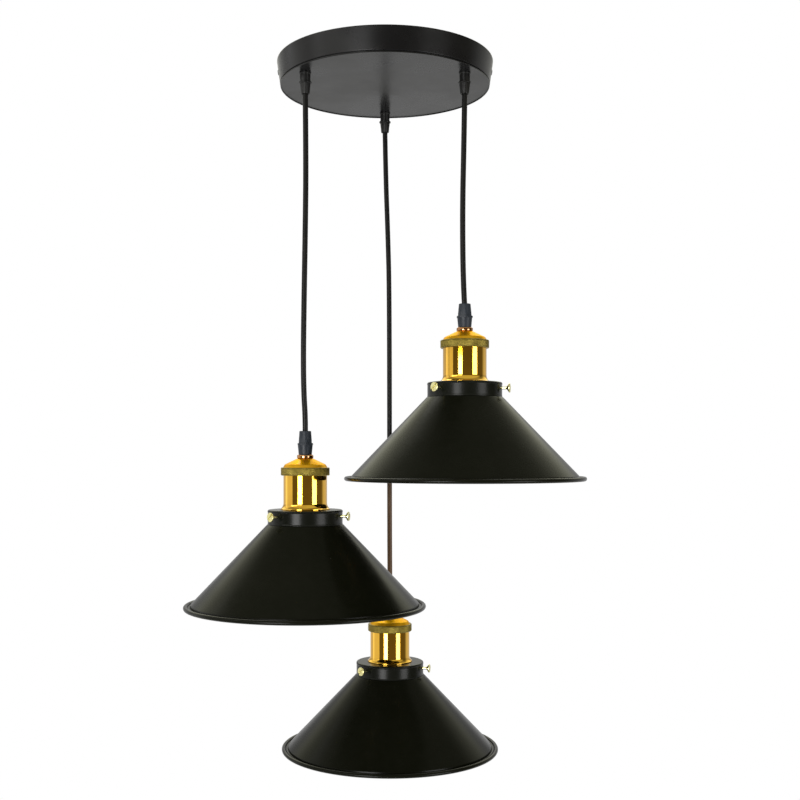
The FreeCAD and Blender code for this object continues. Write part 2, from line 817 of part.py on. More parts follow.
def canopy_grips():
    """Bodies, caps and nuts of the three cord grips; each kind is one node."""
    kinds = (("canopy_grips", outlet_grip), ("canopy_grip_caps", outlet_cap), ("canopy_grip_nuts", outlet_nut))
    for label, make in kinds:
        node(group(label, [make(side) for side in OUTLET_ORDER]))


# Cords and wires

def bend_path(points):
    """Straight runs joined by tangent arcs, each as large as its two runs allow."""
    edges = []
    radii = []
    start = points[0]
    for i in range(1, len(points) - 1):
        before = points[i - 1] - points[i]
        after = points[i + 1] - points[i]
        shorter = min(before.Length, after.Length)
        half_turn = (math.pi - before.getAngle(after)) / 2.0
        setback = 0.45 * shorter
        radii.append(setback / math.tan(half_turn))
        before.normalize()
        after.normalize()
        enter = points[i] + before * setback
        leave = points[i] + after * setback
        inward = (before + after).normalize()
        centre_distance = math.hypot(radii[-1], setback)
        middle = points[i] + inward * (centre_distance - radii[-1])
        edges.append(Part.LineSegment(start, enter).toShape())
        edges.append(Part.Arc(enter, middle, leave).toShape())
        start = leave
    edges.append(Part.LineSegment(start, points[-1]).toShape())
    return Part.Wire(edges), radii


def tube(name, points, radius):
    """A round tube along a path of points, checked against its section times its length."""
    wire, radii = bend_path(points)
    direction = points[1] - points[0]
    section = Part.Wire([Part.Circle(points[0], direction, radius).toShape()])
    solid = wire.makePipeShell([section], True, True)
    expected = math.pi * radius * radius * wire.Length
    if abs(solid.Volume - expected) > 0.01 * expected:
        raise RuntimeError(name + ": the tube's volume is off")
    radii_report.append((name, round(wire.Length, 1), [round(r, 1) for r in radii]))
    return solid


def vector(across, along, up):
    return FreeCAD.Vector(value_of(across), value_of(along), value_of(up))


def upright_rod(across, along, low, high, radius):
    return Part.makeCylinder(radius.value, value_of(high - low), vector(across, along, low))


def fixed_shape(label, shape):
    item = doc.addObject("Part::Feature", label)
    item.Label = label
    item.Shape = shape
    return node(item)


def canopy_wiring():
    """The three cord tails, their cores on the way to the terminal block, and the earth lead with its lug."""
    live = block_ways["live"].value
    neutral = block_ways["neutral"].value
    earth = block_ways["earth"].value
    tail_top = (outlet_stem_top + d.tail_protrusion).value
    front = -(d.block_depth / 2 - d.clamp_recess).value
    rear = -front
    middle = block_middle.value
    upper = middle + (d.core_radius + d.thread_clearance).value
    lower = middle - (d.core_radius + d.thread_clearance).value
    lowest = lower - d.core_layer_step.value
    apart = d.core_offset.value
    lug_low = block_top - d.block_floor
    lug_middle = (block_top - d.block_floor / 2).value
    solids = []
    starts = {}
    for side in OUTLET_ORDER:
        across, along = (value_of(number) for number in outlet(side))
        solids.append(upright_rod(across, along, pivot_height + d.cord_radius + d.cord_clearance,
                                  outlet_stem_top + d.tail_protrusion, d.cord_radius))
        starts[side] = (across, along)
    right_x, right_y = starts["right"]
    left_x, left_y = starts["left"]
    back_x, back_y = starts["back"]
    routes = {
        "right_live": [(right_x - apart, right_y, tail_top), (right_x - apart, right_y, upper),
                       (live, -24, upper), (live, front, upper)],
        "right_neutral": [(right_x + apart, right_y, tail_top), (right_x + apart, right_y, upper),
                          (neutral, -24, upper), (neutral, front, upper)],
        "left_live": [(left_x - apart, left_y, tail_top), (left_x - apart, left_y, lower),
                      (-50, -22, lower), (0, -18, lower), (46, -20, lower), (live, -16, lower),
                      (live, front, lower)],
        "left_neutral": [(left_x + apart, left_y, tail_top), (left_x + apart, left_y, lowest),
                         (-46, -25, lowest), (0, -21.5, lowest), (50, -23, lowest),
                         (neutral, -17, (lower + lowest) / 2), (neutral, front, lower)],
        "back_live": [(back_x - apart, back_y, tail_top), (back_x - apart, back_y, middle),
                      (20, 55, middle), (live, 22, middle), (live, rear, middle)],
        "back_neutral": [(back_x + apart, back_y, tail_top), (back_x + apart, back_y, middle),
                         (26, 57, middle), (neutral, 25, middle), (neutral, rear, middle)],
        "earth": [(earth, rear, middle), (earth, 15, middle), (68, 17.5, -4.2), (30, 16.5, -3.6),
                  (d.earth_screw_place.value, 9.5, lug_middle),
                  (d.earth_screw_place.value, d.earth_lug_radius.value, lug_middle)],
    }
    for name, route in routes.items():
        points = [FreeCAD.Vector(*point) for point in route]
        solids.append(tube(name, points, d.core_radius.value))
    lug = upright_rod(d.earth_screw_place, 0, lug_low, block_top, d.earth_lug_radius)
    hole_radius = d.bracket_screw_radius + d.slip_clearance
    lug_hole = upright_rod(d.earth_screw_place, 0, lug_low, block_top, hole_radius)
    solids.append(lug.cut(lug_hole))
    fixed_shape("canopy_wiring", Part.makeCompound(solids))


def hanging_cord(side):
    """The free cord of one lamp: a ball end at the swing pivot, and a flat end in the lamp's grip."""
    across, along = outlet(side)
    top = pivot_height.value
    bottom = (cord_end - drops[side]).value
    points = [
        FreeCAD.Vector(across.value + sway, along.value, top + (bottom - top) * share)
        for share, sway in CORD_ROUTES[side]
    ]
    radius = d.cord_radius.value
    shape = tube(side + "_cord", points, radius)
    upper_half = FreeCAD.Vector(0, 0, 1)
    shape = shape.fuse(Part.makeSphere(radius, points[0], upper_half, 0, 90, 360))
    fixed_shape(side + "_cord", shape.removeSplitter())


# One lamp

def lamp_place(side):
    """Where the axis of a lamp stands, and the height of its collar's lower edge."""
    across, along = outlet(side)
    lean = d.back_lean if side == "back" else Size(0.0, "0")
    return across + lean, along, -drops[side]


def lamp_node(side, body):
    put(body, *lamp_place(side))
    return node(body)


def lamp_wires(side):
    """The end of the sheath in the grip, and its two cores on the way to the terminals."""
    across, along, up = lamp_place(side)
    low = dome_top - d.nipple_reach - d.sheath_protrusion
    high = cord_end - d.cord_clearance
    head = (insert_top + d.terminal_head_height).value
    solids = [upright_rod(across, along, low + up, high + up, d.cord_radius)]
    for pole, sign in (("live", -1), ("neutral", 1)):
        near = sign * d.core_offset.value
        far = sign * (d.terminal_spacing / 2).value
        bend = (low - d.core_straight).value
        route = [(near, low.value), (near, bend), (far, head + d.core_rise.value), (far, head)]
        points = [vector(across, along, up) + FreeCAD.Vector(x, 0, z) for x, z in route]
        solids.append(tube(side + "_" + pole, points, d.core_radius.value))
    fixed_shape(side + "_wires", Part.makeCompound(solids))


def grip_body(side):
    """The body of the lamp's cord grip: screwed on the nipple below, a ridge and a collet above."""
    thread = d.nipple_thread_radius + d.thread_clearance
    seat = bead_top + d.nipple_upper_reach + d.slip_clearance
    collet_top = ridge_top + d.grip_collet_height
    ridge_radius = d.grip_body_radius + d.grip_ridge_step
    return turned(side + "_grip_body", [
        Corner(thread, bead_top),
        Corner(d.grip_foot_radius, bead_top),
        Corner(d.grip_body_radius, ridge_bottom),
        Corner(ridge_radius, ridge_bottom, rounding=d.grip_ridge_rounding),
        Corner(ridge_radius, ridge_top, rounding=d.grip_ridge_rounding),
        Corner(d.grip_collet_radius, ridge_top),
        Corner(d.grip_collet_radius, collet_top),
        Corner(grip_bore_radius, collet_top),
        Corner(grip_bore_radius, seat),
        Corner(thread, seat),
    ])


def grip_cap(side):
    """The tapered cap that squeezes the collet on the cord."""
    collet_bore = d.grip_collet_radius + d.tip_clearance
    collet_top = ridge_top + d.grip_collet_height + d.slip_clearance
    return turned(side + "_grip_cap", [
        Corner(collet_bore, ridge_top),
        Corner(d.grip_cap_radius, ridge_top),
        Corner(d.grip_tip_radius, grip_top, rounding=d.grip_tip_rounding),
        Corner(grip_bore_radius, grip_top),
        Corner(grip_bore_radius, collet_top),
        Corner(collet_bore, collet_top),
    ])


def nipple(side):
    """A threaded tube with a rounded bead, between the grip and the brass cap."""
    top = bead_top + d.nipple_upper_reach
    bottom = dome_top - d.nipple_reach
    return turned(side + "_nipple", [
        Corner(d.nipple_bore_radius, bottom),
        Corner(d.nipple_thread_radius, bottom),
        Corner(d.nipple_thread_radius, dome_top),
        Corner(d.nipple_bead_radius, dome_top, rounding=d.nipple_bead_rounding),
        Corner(d.nipple_bead_radius, bead_top, rounding=d.nipple_bead_rounding),
        Corner(d.nipple_thread_radius, bead_top),
        Corner(d.nipple_thread_radius, top),
        Corner(d.nipple_bore_radius, top),
    ])


def holder_cap(side):
    """The brass dome with its knurled edge; its neck is threaded for the nipple and its rim for the barrel."""
    thread = d.nipple_thread_radius + d.thread_clearance
    barrel_thread = d.barrel_radius + d.thread_clearance
    shoulder = cap_bottom + cap_overlap + d.slip_clearance
    inner_curve = d.dome_curve_radius - d.cap_wall
    return turned(side + "_holder_cap", [
        Corner(barrel_thread, cap_bottom),
        Corner(knurl_radius, cap_bottom, rounding=d.knurl_rounding),
        Corner(knurl_radius, dome_bottom, rounding=d.knurl_rounding),
        Corner(dome_radius, dome_bottom, bulge=d.dome_curve_radius),
        Corner(d.dome_neck_radius, dome_top),
        Corner(thread, dome_top),
        Corner(thread, dome_top - d.nipple_reach),
        Corner(d.dome_neck_radius, dome_top - d.nipple_reach),
        Corner(d.dome_neck_radius, dome_top - d.cap_wall, bulge=inner_curve, side=-1),
        Corner(barrel_thread - d.cap_shoulder_width, shoulder),
        Corner(barrel_thread, shoulder),
    ])


def holder_shell(side):
    """The brass barrel with its flare, and the threaded skirt that passes through the collar."""
    top = cap_bottom + cap_overlap
    flare_radius = d.barrel_radius + d.flare_step
    return turned(side + "_holder_shell", [
        Corner(barrel_bore_radius, -d.skirt_reach),
        Corner(skirt_radius, -d.skirt_reach),
        Corner(skirt_radius, d.collar_height),
        Corner(flare_radius, d.collar_height),
        Corner(flare_radius, d.collar_height + d.flare_lip),
        Corner(d.barrel_radius, barrel_bottom),
        Corner(d.barrel_radius, top),
        Corner(barrel_bore_radius, top),
    ])


def porcelain_insert(side):
    """The porcelain body: a round cavity for the thread shell below, a web with the terminals above."""
    outside = barrel_bore_radius - d.cord_clearance
    cavity = shell_radius + d.slip_clearance
    stem = d.contact_stem_radius + d.thread_clearance
    body = turned(side + "_porcelain_insert", [
        Corner(cavity, insert_bottom),
        Corner(outside, insert_bottom),
        Corner(outside, insert_top),
        Corner(stem, insert_top),
        Corner(stem, cavity_top),
        Corner(cavity, cavity_top),
    ])
    hole = d.terminal_screw_radius + d.thread_clearance

    def draw_holes(sketch):
        draw_circle(sketch, "left", -(d.terminal_spacing / 2), 0, hole)
        draw_circle(sketch, "right", d.terminal_spacing / 2, 0, hole)

    depth = d.terminal_screw_length + d.slip_clearance
    cut(body, "terminal_holes", "XY_Plane", draw_holes, depth, height=insert_top)
    return body


def thread_shell(side):
    """The brass sleeve that the bulb screws into."""
    low = insert_bottom - d.shell_protrusion
    top = cavity_top - d.shell_headroom
    return turned(side + "_thread_shell", [
        Corner(d.shell_bore_radius, low),
        Corner(shell_radius, low),
        Corner(shell_radius, top),
        Corner(d.shell_bore_radius, top),
    ])


def contacts(side):
    """The centre contact riveted through the porcelain, and the two terminal screws."""
    centre = turned(side + "_centre_contact", [
        Corner(0, cavity_top - d.contact_thickness),
        Corner(d.contact_radius, cavity_top - d.contact_thickness),
        Corner(d.contact_radius, cavity_top),
        Corner(d.contact_stem_radius, cavity_top),
        Corner(d.contact_stem_radius, insert_top),
        Corner(d.rivet_head_radius, insert_top),
        Corner(d.rivet_head_radius, insert_top + d.contact_thickness),
        Corner(0, insert_top + d.contact_thickness),
    ])
    across, along, up = lamp_place(side)
    put(centre, across, along, up)
    members = [centre]
    for name, offset in (("left", -(d.terminal_spacing / 2)), ("right", d.terminal_spacing / 2)):
        screw = headed_screw(side + "_" + name + "_holder_screw", d.terminal_screw_radius,
                             d.terminal_screw_length, d.terminal_head_radius, d.terminal_head_height)
        put(screw, across + offset, along, up + insert_top)
        members.append(screw)
    return node(group(side + "_contacts", members))


def shade_ring_nut(side):
    """The ring on the skirt that clamps the collar's plate against the flare."""
    top = d.collar_height - d.collar_plate
    thread = skirt_radius + d.thread_clearance
    outside = skirt_radius + d.ring_nut_width
    return turned(side + "_shade_ring_nut", [
        Corner(thread, top - d.ring_nut_height),
        Corner(outside, top - d.ring_nut_height),
        Corner(outside, top),
        Corner(thread, top),
    ])


def gallery_collar(side):
    """The black cup over the shade's neck, with three threaded holes for the thumb screws."""
    plate_bottom = d.collar_height - d.collar_plate
    bore = skirt_radius + d.slip_clearance
    body = turned(side + "_gallery_collar", [
        Corner(bore, plate_bottom),
        Corner(collar_inside, plate_bottom, rounding=d.collar_corner_radius - d.collar_wall),
        Corner(collar_inside, 0),
        Corner(collar_radius, 0),
        Corner(collar_radius, d.collar_height, rounding=d.collar_corner_radius),
        Corner(bore, d.collar_height),
    ])
    hole = d.thumb_shank_radius + d.thread_clearance
    first = cut(body, "thumb_hole", "XZ_Plane", lambda sketch: draw_circle(sketch, "a", 0, d.thumb_height, hole))
    polar(body, first, THUMB_COUNT)
    across, along, up = lamp_place(side)
    put(body, across, along, up, FreeCAD.Rotation(FreeCAD.Vector(0, 0, 1), THUMB_FIRST_ANGLE - 90))
    return node(body)


def thumb_screw(side, number):
    """A slotted thumb screw; it points at the lamp's axis and stops just short of the shade's neck."""
    tip = d.shade_neck_radius + d.tip_clearance
    head = collar_radius + d.thumb_head_reach
    rim = head + d.thumb_head_cone
    face = rim + d.thumb_head_rim
    label = side + "_thumb_screw_" + str(number)
    body = turned(label, [
        Corner(0, tip),
        Corner(d.thumb_shank_radius, tip),
        Corner(d.thumb_shank_radius, head),
        Corner(d.thumb_head_radius, rim),
        Corner(d.thumb_head_radius, face, rounding=d.thumb_head_rim / 2),
        Corner(0, face),
    ])
    half = d.thumb_slot_width / 2
    reach = d.thumb_head_radius + d.thumb_slot_overrun
    cut(body, "slot", "XY_Plane",
        lambda sketch: draw_outline(sketch, box_corners(-half, -reach, half, reach)),
        d.thumb_slot_depth, height=face)
    angle = THUMB_FIRST_ANGLE + THUMB_STEP_ANGLE * (number - 1)
    outward = FreeCAD.Rotation(FreeCAD.Vector(0, 0, 1), angle) * FreeCAD.Rotation(FreeCAD.Vector(0, 1, 0), 90)
    across, along, up = lamp_place(side)
    put(body, across, along, up + d.thumb_height, outward)
    return node(body)


def shade(side):
    """The spun metal shade: a short neck, a flat shoulder, a straight cone, a ledge and a rolled bead."""
    wall = d.shade_wall
    shoulder = d.shade_neck_radius + d.shade_shoulder_width
    cone_radius = d.shade_radius - d.shade_ledge_width
    slope = (cone_radius - shoulder) / d.shade_cone_depth
    shift = wall * root_of(slope * slope + 1)
    inner_end = d.shade_cone_depth + wall / 2
    bead = d.shade_bead_radius
    bead_centre = d.shade_radius - bead
    bead_height = -(d.shade_cone_depth + d.shade_ledge_drop)
    ledge_across, ledge_up = LEDGE_MEETS_BEAD
    inner_across, inner_up = INNER_FACE_MEETS_BEAD
    return turned(side + "_shade", [
        Corner(d.shade_neck_radius, d.shade_neck_height),
        Corner(d.shade_neck_radius, 0),
        Corner(shoulder, 0),
        Corner(cone_radius, -d.shade_cone_depth),
        Corner(bead_centre + bead * ledge_across, bead_height + bead * ledge_up, bulge=bead, side=1, large=True),
        Corner(bead_centre + bead * inner_across, bead_height + bead * inner_up),
        Corner(shoulder + slope * inner_end - shift, -inner_end),
        Corner(shoulder + slope * wall - shift, -wall),
        Corner(d.shade_neck_radius - wall, -wall),
        Corner(d.shade_neck_radius - wall, d.shade_neck_height),
    ])


def lamp(side):
    """Everything that hangs on one cord."""
    hanging_cord(side)
    lamp_wires(side)
    for make in (grip_cap, grip_body, nipple, holder_cap, holder_shell, porcelain_insert, thread_shell,
                 shade_ring_nut, shade):
        lamp_node(side, make(side))
    contacts(side)
    gallery_collar(side)
    for number in range(1, THUMB_COUNT + 1):
        thumb_screw(side, number)


def build():
    canopy_cover()
    mounting_bracket()
    canopy_side_screws()
    terminal_block()
    terminal_clamps()
    terminal_screws()
    bracket_screws()
    canopy_grips()
    canopy_wiring()
    for side in drops:
        lamp(side)
    doc.recompute()


def check():
    """Stops before anything is written if an object has failed."""
    for item in doc.Objects:
        if "Invalid" in item.State or "Error" in item.State:
            raise RuntimeError(item.Label + " failed: " + str(item.State))
    for item in node_objects:
        shape = item.Shape
        if shape.isNull() or not shape.isValid() or shape.Volume <= 0:
            raise RuntimeError(item.Label + " has no valid shape")


def write():
    os.makedirs("parts", exist_ok=True)
    for item in node_objects:
        item.Shape.exportStep("parts/" + item.Label + ".step")


build()
check()
write()
for name, length, radii in radii_report:
    print(name, "length", length, "bend radii", radii)
print(len(node_objects), "nodes")
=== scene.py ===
import json
import math
import bmesh
import bpy
import numpy as np
from mathutils import Matrix, Vector


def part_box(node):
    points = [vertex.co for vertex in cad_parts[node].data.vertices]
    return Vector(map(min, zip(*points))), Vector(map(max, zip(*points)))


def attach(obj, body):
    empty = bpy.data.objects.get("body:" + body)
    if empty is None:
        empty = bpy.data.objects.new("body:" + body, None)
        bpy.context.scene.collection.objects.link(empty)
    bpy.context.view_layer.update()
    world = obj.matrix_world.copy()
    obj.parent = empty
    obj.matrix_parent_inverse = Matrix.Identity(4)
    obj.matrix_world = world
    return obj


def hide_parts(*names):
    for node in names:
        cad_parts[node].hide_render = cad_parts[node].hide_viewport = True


# A pendant with three lamps: a round black canopy, three black cords, brass holders and black conical shades.
# Shapes are worked out in millimetres and go into the meshes in metres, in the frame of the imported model.

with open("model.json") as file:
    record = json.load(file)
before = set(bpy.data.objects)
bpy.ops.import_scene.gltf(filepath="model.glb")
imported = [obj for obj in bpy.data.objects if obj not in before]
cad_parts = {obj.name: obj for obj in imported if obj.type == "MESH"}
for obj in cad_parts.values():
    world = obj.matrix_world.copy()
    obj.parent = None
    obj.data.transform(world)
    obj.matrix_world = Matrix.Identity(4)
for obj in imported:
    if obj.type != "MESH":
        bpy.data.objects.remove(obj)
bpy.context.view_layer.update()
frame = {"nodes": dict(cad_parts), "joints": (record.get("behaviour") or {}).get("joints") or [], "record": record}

MM = 0.001
SIDES = ("left", "right", "back")
SCREW_NUMBERS = (1, 2, 3)

# The camera: width of the picture and focal length in pixels, width of the sensor in mm, place in metres, and the
# column and row of the picture at which the optical axis lies
PICTURE = 800
FOCAL_PIXELS = 1150
SENSOR = 36.0
CAMERA_PLACE = (0.0, -1.0913, -0.368)
AXIS_COLUMN = 385
HORIZON_ROW = 452
CLIP_END = 50.0

# Heights on a lamp, in mm from the lower edge of its collar
SKIRT_LOW = -3.5
THUMB_HEIGHT = 7.9
COLLAR_TOP = 13.5
BARREL_LOW = 19.2
CAP_LOW = 44.6
BARREL_TOP = 50.8
DOME_LOW = 51.9
DOME_TOP = 59.9
BEAD_TOP = 63.5
RIDGE_LOW = 72.5
RIDGE_TOP = 74.1
CORD_END = 81.2
GRIP_TOP = 85.2

# Radii on a lamp, in mm
CORD_RADIUS = 2.5
CORD_HOLE = 2.8
TUBE_RADIUS = 4.9
TUBE_HOLE = 4.95
BEAD_RADIUS = 7.45
RIDGE_RADIUS = 7.45
BARREL_BORE = 18.9
SKIRT_RADIUS = 19.7
BARREL_RADIUS = 19.9
COLLAR_BORE = 19.9
BAND_RADIUS = 22.3
FLARE_RADIUS = 22.6
COLLAR_RADIUS = 34.25

# A thumb screw: distances of its tip, the start and rim of its head and its face from the lamp's axis, its radii,
# and its slot, in mm
THUMB_TIP = 32.2
THUMB_HEAD = 38.6
THUMB_RIM = 40.8
THUMB_FACE = 41.7
THUMB_SHANK_RADIUS = 1.2
THUMB_HEAD_RADIUS = 4.2
SLOT_HALF_WIDTH = 0.55
SLOT_DEPTH = 0.9

# Its mesh: how far in from the head's edge the rings of its face begin, in mm, their number, and the angle from which
# an edge is shaded as sharp
FACE_EDGE = 0.9
FACE_RINGS = 34
SHARP_ANGLE = math.radians(40)

# The knurling: its depth in mm, the number of waves round the band that lean each way, the height of one wave, how far
# they run out at either end, and how thick the skin is that they may carve, in mm
KNURL_DEPTH = 0.5
KNURL_WAVES = 60
KNURL_PITCH = 2.3
KNURL_RUNOUT = 0.8
KNURL_SKIN = 0.4

# Heights on the canopy, in mm from the ceiling
WALL_TOP = -0.8
SIDE_SCREW_HEIGHT = -8.0
STEM_TOP = -14.5
CANOPY_FLOOR = -22.0
OUTLET_RIDGE_TOP = -30.4
OUTLET_RIDGE_LOW = -31.8
OUTLET_MOUTH = -41.6

# The canopy's radius at the ceiling in mm, and how far its wall leans in for each mm down
CANOPY_RADIUS = 102
WALL_LEAN = 0.14

# The six-sided grips: angle of the middle of a flat, and the share of a flat's reach within which a bore stays round
HEXAGON_TURN = math.radians(10)
BORE_SHARE = 0.8

# Rounding in mm of a corner that states none, and where the points beside an arc lie: at this distance in mm, but
# no farther than this share of the side
SLIGHT_ROUNDING = 0.12
BESIDE_ARC = 0.4
BESIDE_SHARE = 0.2

# Points of a mesh nearer to each other than this, in metres, are one
MERGE_DISTANCE = 2e-6

# Where the back cord gets a painted brown reflection of the brass: the heights between which it sets in, and how far
# behind the middle the cord hangs at least, in metres
BROWN_REFLECTION_FROM = -0.37
BROWN_REFLECTION_IN_FULL = -0.43
BROWN_REFLECTION_BEHIND = 0.05

# A cord's mesh: the resolution of its bevel, and the steps between two points of its route
CORD_BEVEL = 8
CORD_STEPS = 16

# Route of each cord: share of the way from its pivot in the canopy to its end in the grip, and sway in mm
CORD_ROUTES = {
    "left": [(0, 0), (0.2, 0.7), (0.4, 0.0), (0.6, -1.1), (0.77, -1.8), (0.88, -1.3), (0.95, 0.1), (1, 0)],
    "right": [(0, 0), (0.25, -0.8), (0.5, -1.9), (0.75, -1.8), (0.92, -0.9), (1, 0)],
    "back": [(0, 0), (0.1, 0.8), (0.22, 2.9), (0.35, 4.5), (0.85, 4.7), (0.93, 4.9), (0.97, 5), (1, 5)],
}

# Soft windows: name, azimuth in degrees, distance, height and height aimed at in metres, width and height in
# metres, and brightness
WINDOWS = [
    ("left_window", -93, 1.9, 0.0, 0.0, (1.9, 2.2), 0.8),
    ("front_strip", -25, 2.2, -0.65, -0.65, (0.8, 1.1), 16.0),
    ("right_window", 51, 1.9, -0.65, -0.65, (0.8, 1.1), 8.0),
    ("rear_left_window", -152, 1.1, 1.0, -0.3, (0.5, 0.4), 3.5),
    ("rear_right_window", 150, 1.1, 1.0, -0.3, (0.4, 0.4), 2.5),
    ("upper_left_window", -58, 1.9, 0.42, 0.0, (1.2, 0.6), 2.6),
    ("upper_front_window", -26, 1.9, 0.42, 0.0, (0.7, 0.6), 1.3),
]

# The floor: reach and height in metres, and number of sides
FLOOR_REACH = 4.5
FLOOR_HEIGHT = -2.2
FLOOR_SIDES = 128

mounts = {mount["name"]: mount for mount in frame["record"]["mounts"]}
joints = {joint["name"]: joint for joint in frame["joints"]}


def lamp_origin(side):
    """The point on a lamp's axis at the height of its collar's lower edge, in metres."""
    across, along, _ = mounts[side + "_lamp_socket"]["pos_m"]
    return np.array((across, along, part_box(side + "_gallery_collar")[0].z))


def pivot_of(side):
    """The point in the canopy grip's mouth about which a cord swings, in metres."""
    return np.array(joints[side + "_swing"]["pos_m"])


# Surfaces

def rounded_corners(corners, facets=5):
    """Points of a closed outline whose corners are (across, up, rounding) in mm: a row of points for each corner.

    Each corner becomes an arc of its rounding's radius that touches both of its sides, in equal turns,
    with one more point beside each end of the arc that keeps the flats flat. A rounding of 0 leaves the
    corner itself, as at the axis.
    """
    data = np.array([(*corner, SLIGHT_ROUNDING)[:3] for corner in corners], float)
    point, radius = data[:, :2], data[:, 2:]
    back = np.roll(point, 1, axis=0) - point
    ahead = np.roll(point, -1, axis=0) - point
    back_length = np.linalg.norm(back, axis=1, keepdims=True)
    ahead_length = np.linalg.norm(ahead, axis=1, keepdims=True)
    back /= back_length
    ahead /= ahead_length
    half = np.arccos(np.clip((back * ahead).sum(1, keepdims=True), -1, 1)) / 2
    setback = radius / np.tan(half)
    middle = back + ahead
    middle /= np.linalg.norm(middle, axis=1, keepdims=True)
    centre = point + middle * radius / np.sin(half)
    start = point + back * setback
    end = point + ahead * setback
    first = np.arctan2(*(start - centre).T[::-1])[:, None]
    turn = np.arctan2(*(end - centre).T[::-1])[:, None] - first
    turn = (turn + np.pi) % (2 * np.pi) - np.pi
    angle = first + turn * np.linspace(0, 1, facets + 1)[None, :]
    arc = centre[:, None, :] + radius[:, None, :] * np.stack((np.cos(angle), np.sin(angle)), axis=2)
    margin = np.where(radius > 0, BESIDE_ARC, 0)
    lead_in = start + back * np.minimum(margin, BESIDE_SHARE * back_length)
    lead_out = end + ahead * np.minimum(margin, BESIDE_SHARE * ahead_length)
    return np.concatenate((lead_in[:, None, :], arc, lead_out[:, None, :]), axis=1)


def rounded(corners, facets=5):
    """The same points in one list."""
    return rounded_corners(corners, facets).reshape(-1, 2)


def turned_grid(outline, around, carve=None):
    """Points (row, step, xyz) of a surface of revolution: (r cos a, r sin a, z) for each outline point (r, z).

    around is the number of steps in a turn. carve, where given, returns the radius to use for arrays of
    angle, radius and height.
    """
    angle = np.linspace(0, 2 * np.pi, around, endpoint=False)[None, :]
    radius = np.repeat(outline[:, :1], around, axis=1)
    height = np.repeat(outline[:, 1:], around, axis=1)
    if carve is not None:
        radius = carve(angle, radius, height)
    return np.stack((radius * np.cos(angle), radius * np.sin(angle), height), axis=2)


def grid_faces(rows, columns):
    """Corner numbers of the faces of a grid that closes on itself both ways."""
    row, column = np.meshgrid(np.arange(rows), np.arange(columns), indexing="ij")
    next_row = (row + 1) % rows
    next_column = (column + 1) % columns
    corners = (row * columns + column, row * columns + next_column,
               next_row * columns + next_column, next_row * columns + column)
    return np.stack(corners, axis=2).reshape(-1, 4)


def grid_map(rows, columns, lengths):
    """Map coordinates of those faces' corners: the share of the turn, and the way along the outline in mm."""
    column = np.arange(columns)[None, :]
    left = np.repeat(column / columns, rows, axis=0)
    right = np.repeat((column + 1) / columns, rows, axis=0)
    low = np.repeat(lengths[:-1, None], columns, axis=1)
    high = np.repeat(lengths[1:, None], columns, axis=1)
    corners = [np.stack(place, axis=2) for place in ((left, low), (right, low), (right, high), (left, high))]
    return np.stack(corners, axis=2).reshape(-1, 2)


def along_outline(outline):
    """Distance along a closed outline, in mm, at each point and back at the first."""
    steps = np.linalg.norm(np.roll(outline, -1, axis=0) - outline, axis=1)
    return np.concatenate(((0.0,), np.cumsum(steps)))


def make_piece(name, grid, outline, places, finish, body, node):
    """One object with the grid at each place, a point in metres or a matrix; it stands for a CAD node or None."""
    rows, columns = grid.shape[:2]
    points, faces = [], []
    for number, place in enumerate(places):
        flat = grid.reshape(-1, 3) * MM
        if isinstance(place, Matrix):
            turn = np.array(place)
            flat = flat @ turn[:3, :3].T + turn[:3, 3]
        else:
            flat = flat + np.asarray(place)
        points.append(flat)
        faces.append(grid_faces(rows, columns) + number * rows * columns)
    maps = [grid_map(rows, columns, along_outline(outline))] * len(places)
    mesh = bpy.data.meshes.new(name)
    mesh.from_pydata(np.concatenate(points).tolist(), [], np.concatenate(faces).tolist())
    layer = mesh.uv_layers.new(name="surface")
    layer.data.foreach_set("uv", np.concatenate(maps).astype(np.float32).ravel())
    shell = bmesh.new()
    shell.from_mesh(mesh)
    bmesh.ops.remove_doubles(shell, verts=shell.verts, dist=MERGE_DISTANCE)
    bmesh.ops.recalc_face_normals(shell, faces=shell.faces)
    shell.to_mesh(mesh)
    shell.free()
    mesh.shade_smooth()
    piece = bpy.data.objects.new(name, mesh)
    bpy.context.scene.collection.objects.link(piece)
    mesh.materials.append(finish)
    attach(piece, body)
    if node:
        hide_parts(node)
    return piece


def canopy_piece(name, outline, around, places, finish, node, carve=None):
    """A piece of the canopy, turned from an outline and put at each of the places."""
    make_piece(name, turned_grid(outline, around, carve), outline, places, finish, "canopy", node)


def lamp_piece(side, name, outline, around, finish, node, carve=None):
    """A piece of a lamp, turned from an outline about the lamp's axis."""
    node = node and side + "_" + node
    make_piece(side + "_" + name, turned_grid(outline, around, carve), outline, [lamp_origin(side)],
               finish, side + "_lamp", node)


def hexagon_carve(flat_reach, low, high):
    """A six-sided cut: between two heights the radius is at most flat_reach / cos(angle from the flat's middle)."""
    def carve(angle, radius, height):
        off = (angle - HEXAGON_TURN + np.pi / 6) % (np.pi / 3) - np.pi / 6
        side = flat_reach / np.cos(off)
        outside = (height >= low) & (height <= high) & (radius > flat_reach * BORE_SHARE)
        return np.where(outside, np.minimum(radius, side), radius)
    return carve


def knurl_carve(angle, radius, height):
    """Crossed grooves in the band: the radius falls most where two waves, one leaning each way, agree.

    radius - depth * fade * (1 + sin(waves a + lean) sin(waves a - lean)) / 2, and the bore stays as it is.
    """
    lean = 2 * np.pi * height / KNURL_PITCH
    wave = np.sin(KNURL_WAVES * angle + lean) * np.sin(KNURL_WAVES * angle - lean)
    fade = np.clip((height - CAP_LOW) / KNURL_RUNOUT, 0, 1) * np.clip((DOME_LOW - height) / KNURL_RUNOUT, 0, 1)
    carved = radius - KNURL_DEPTH * fade * (0.5 + 0.5 * wave)
    return np.where(radius > BAND_RADIUS - KNURL_SKIN, carved, radius)


# Shader nodes

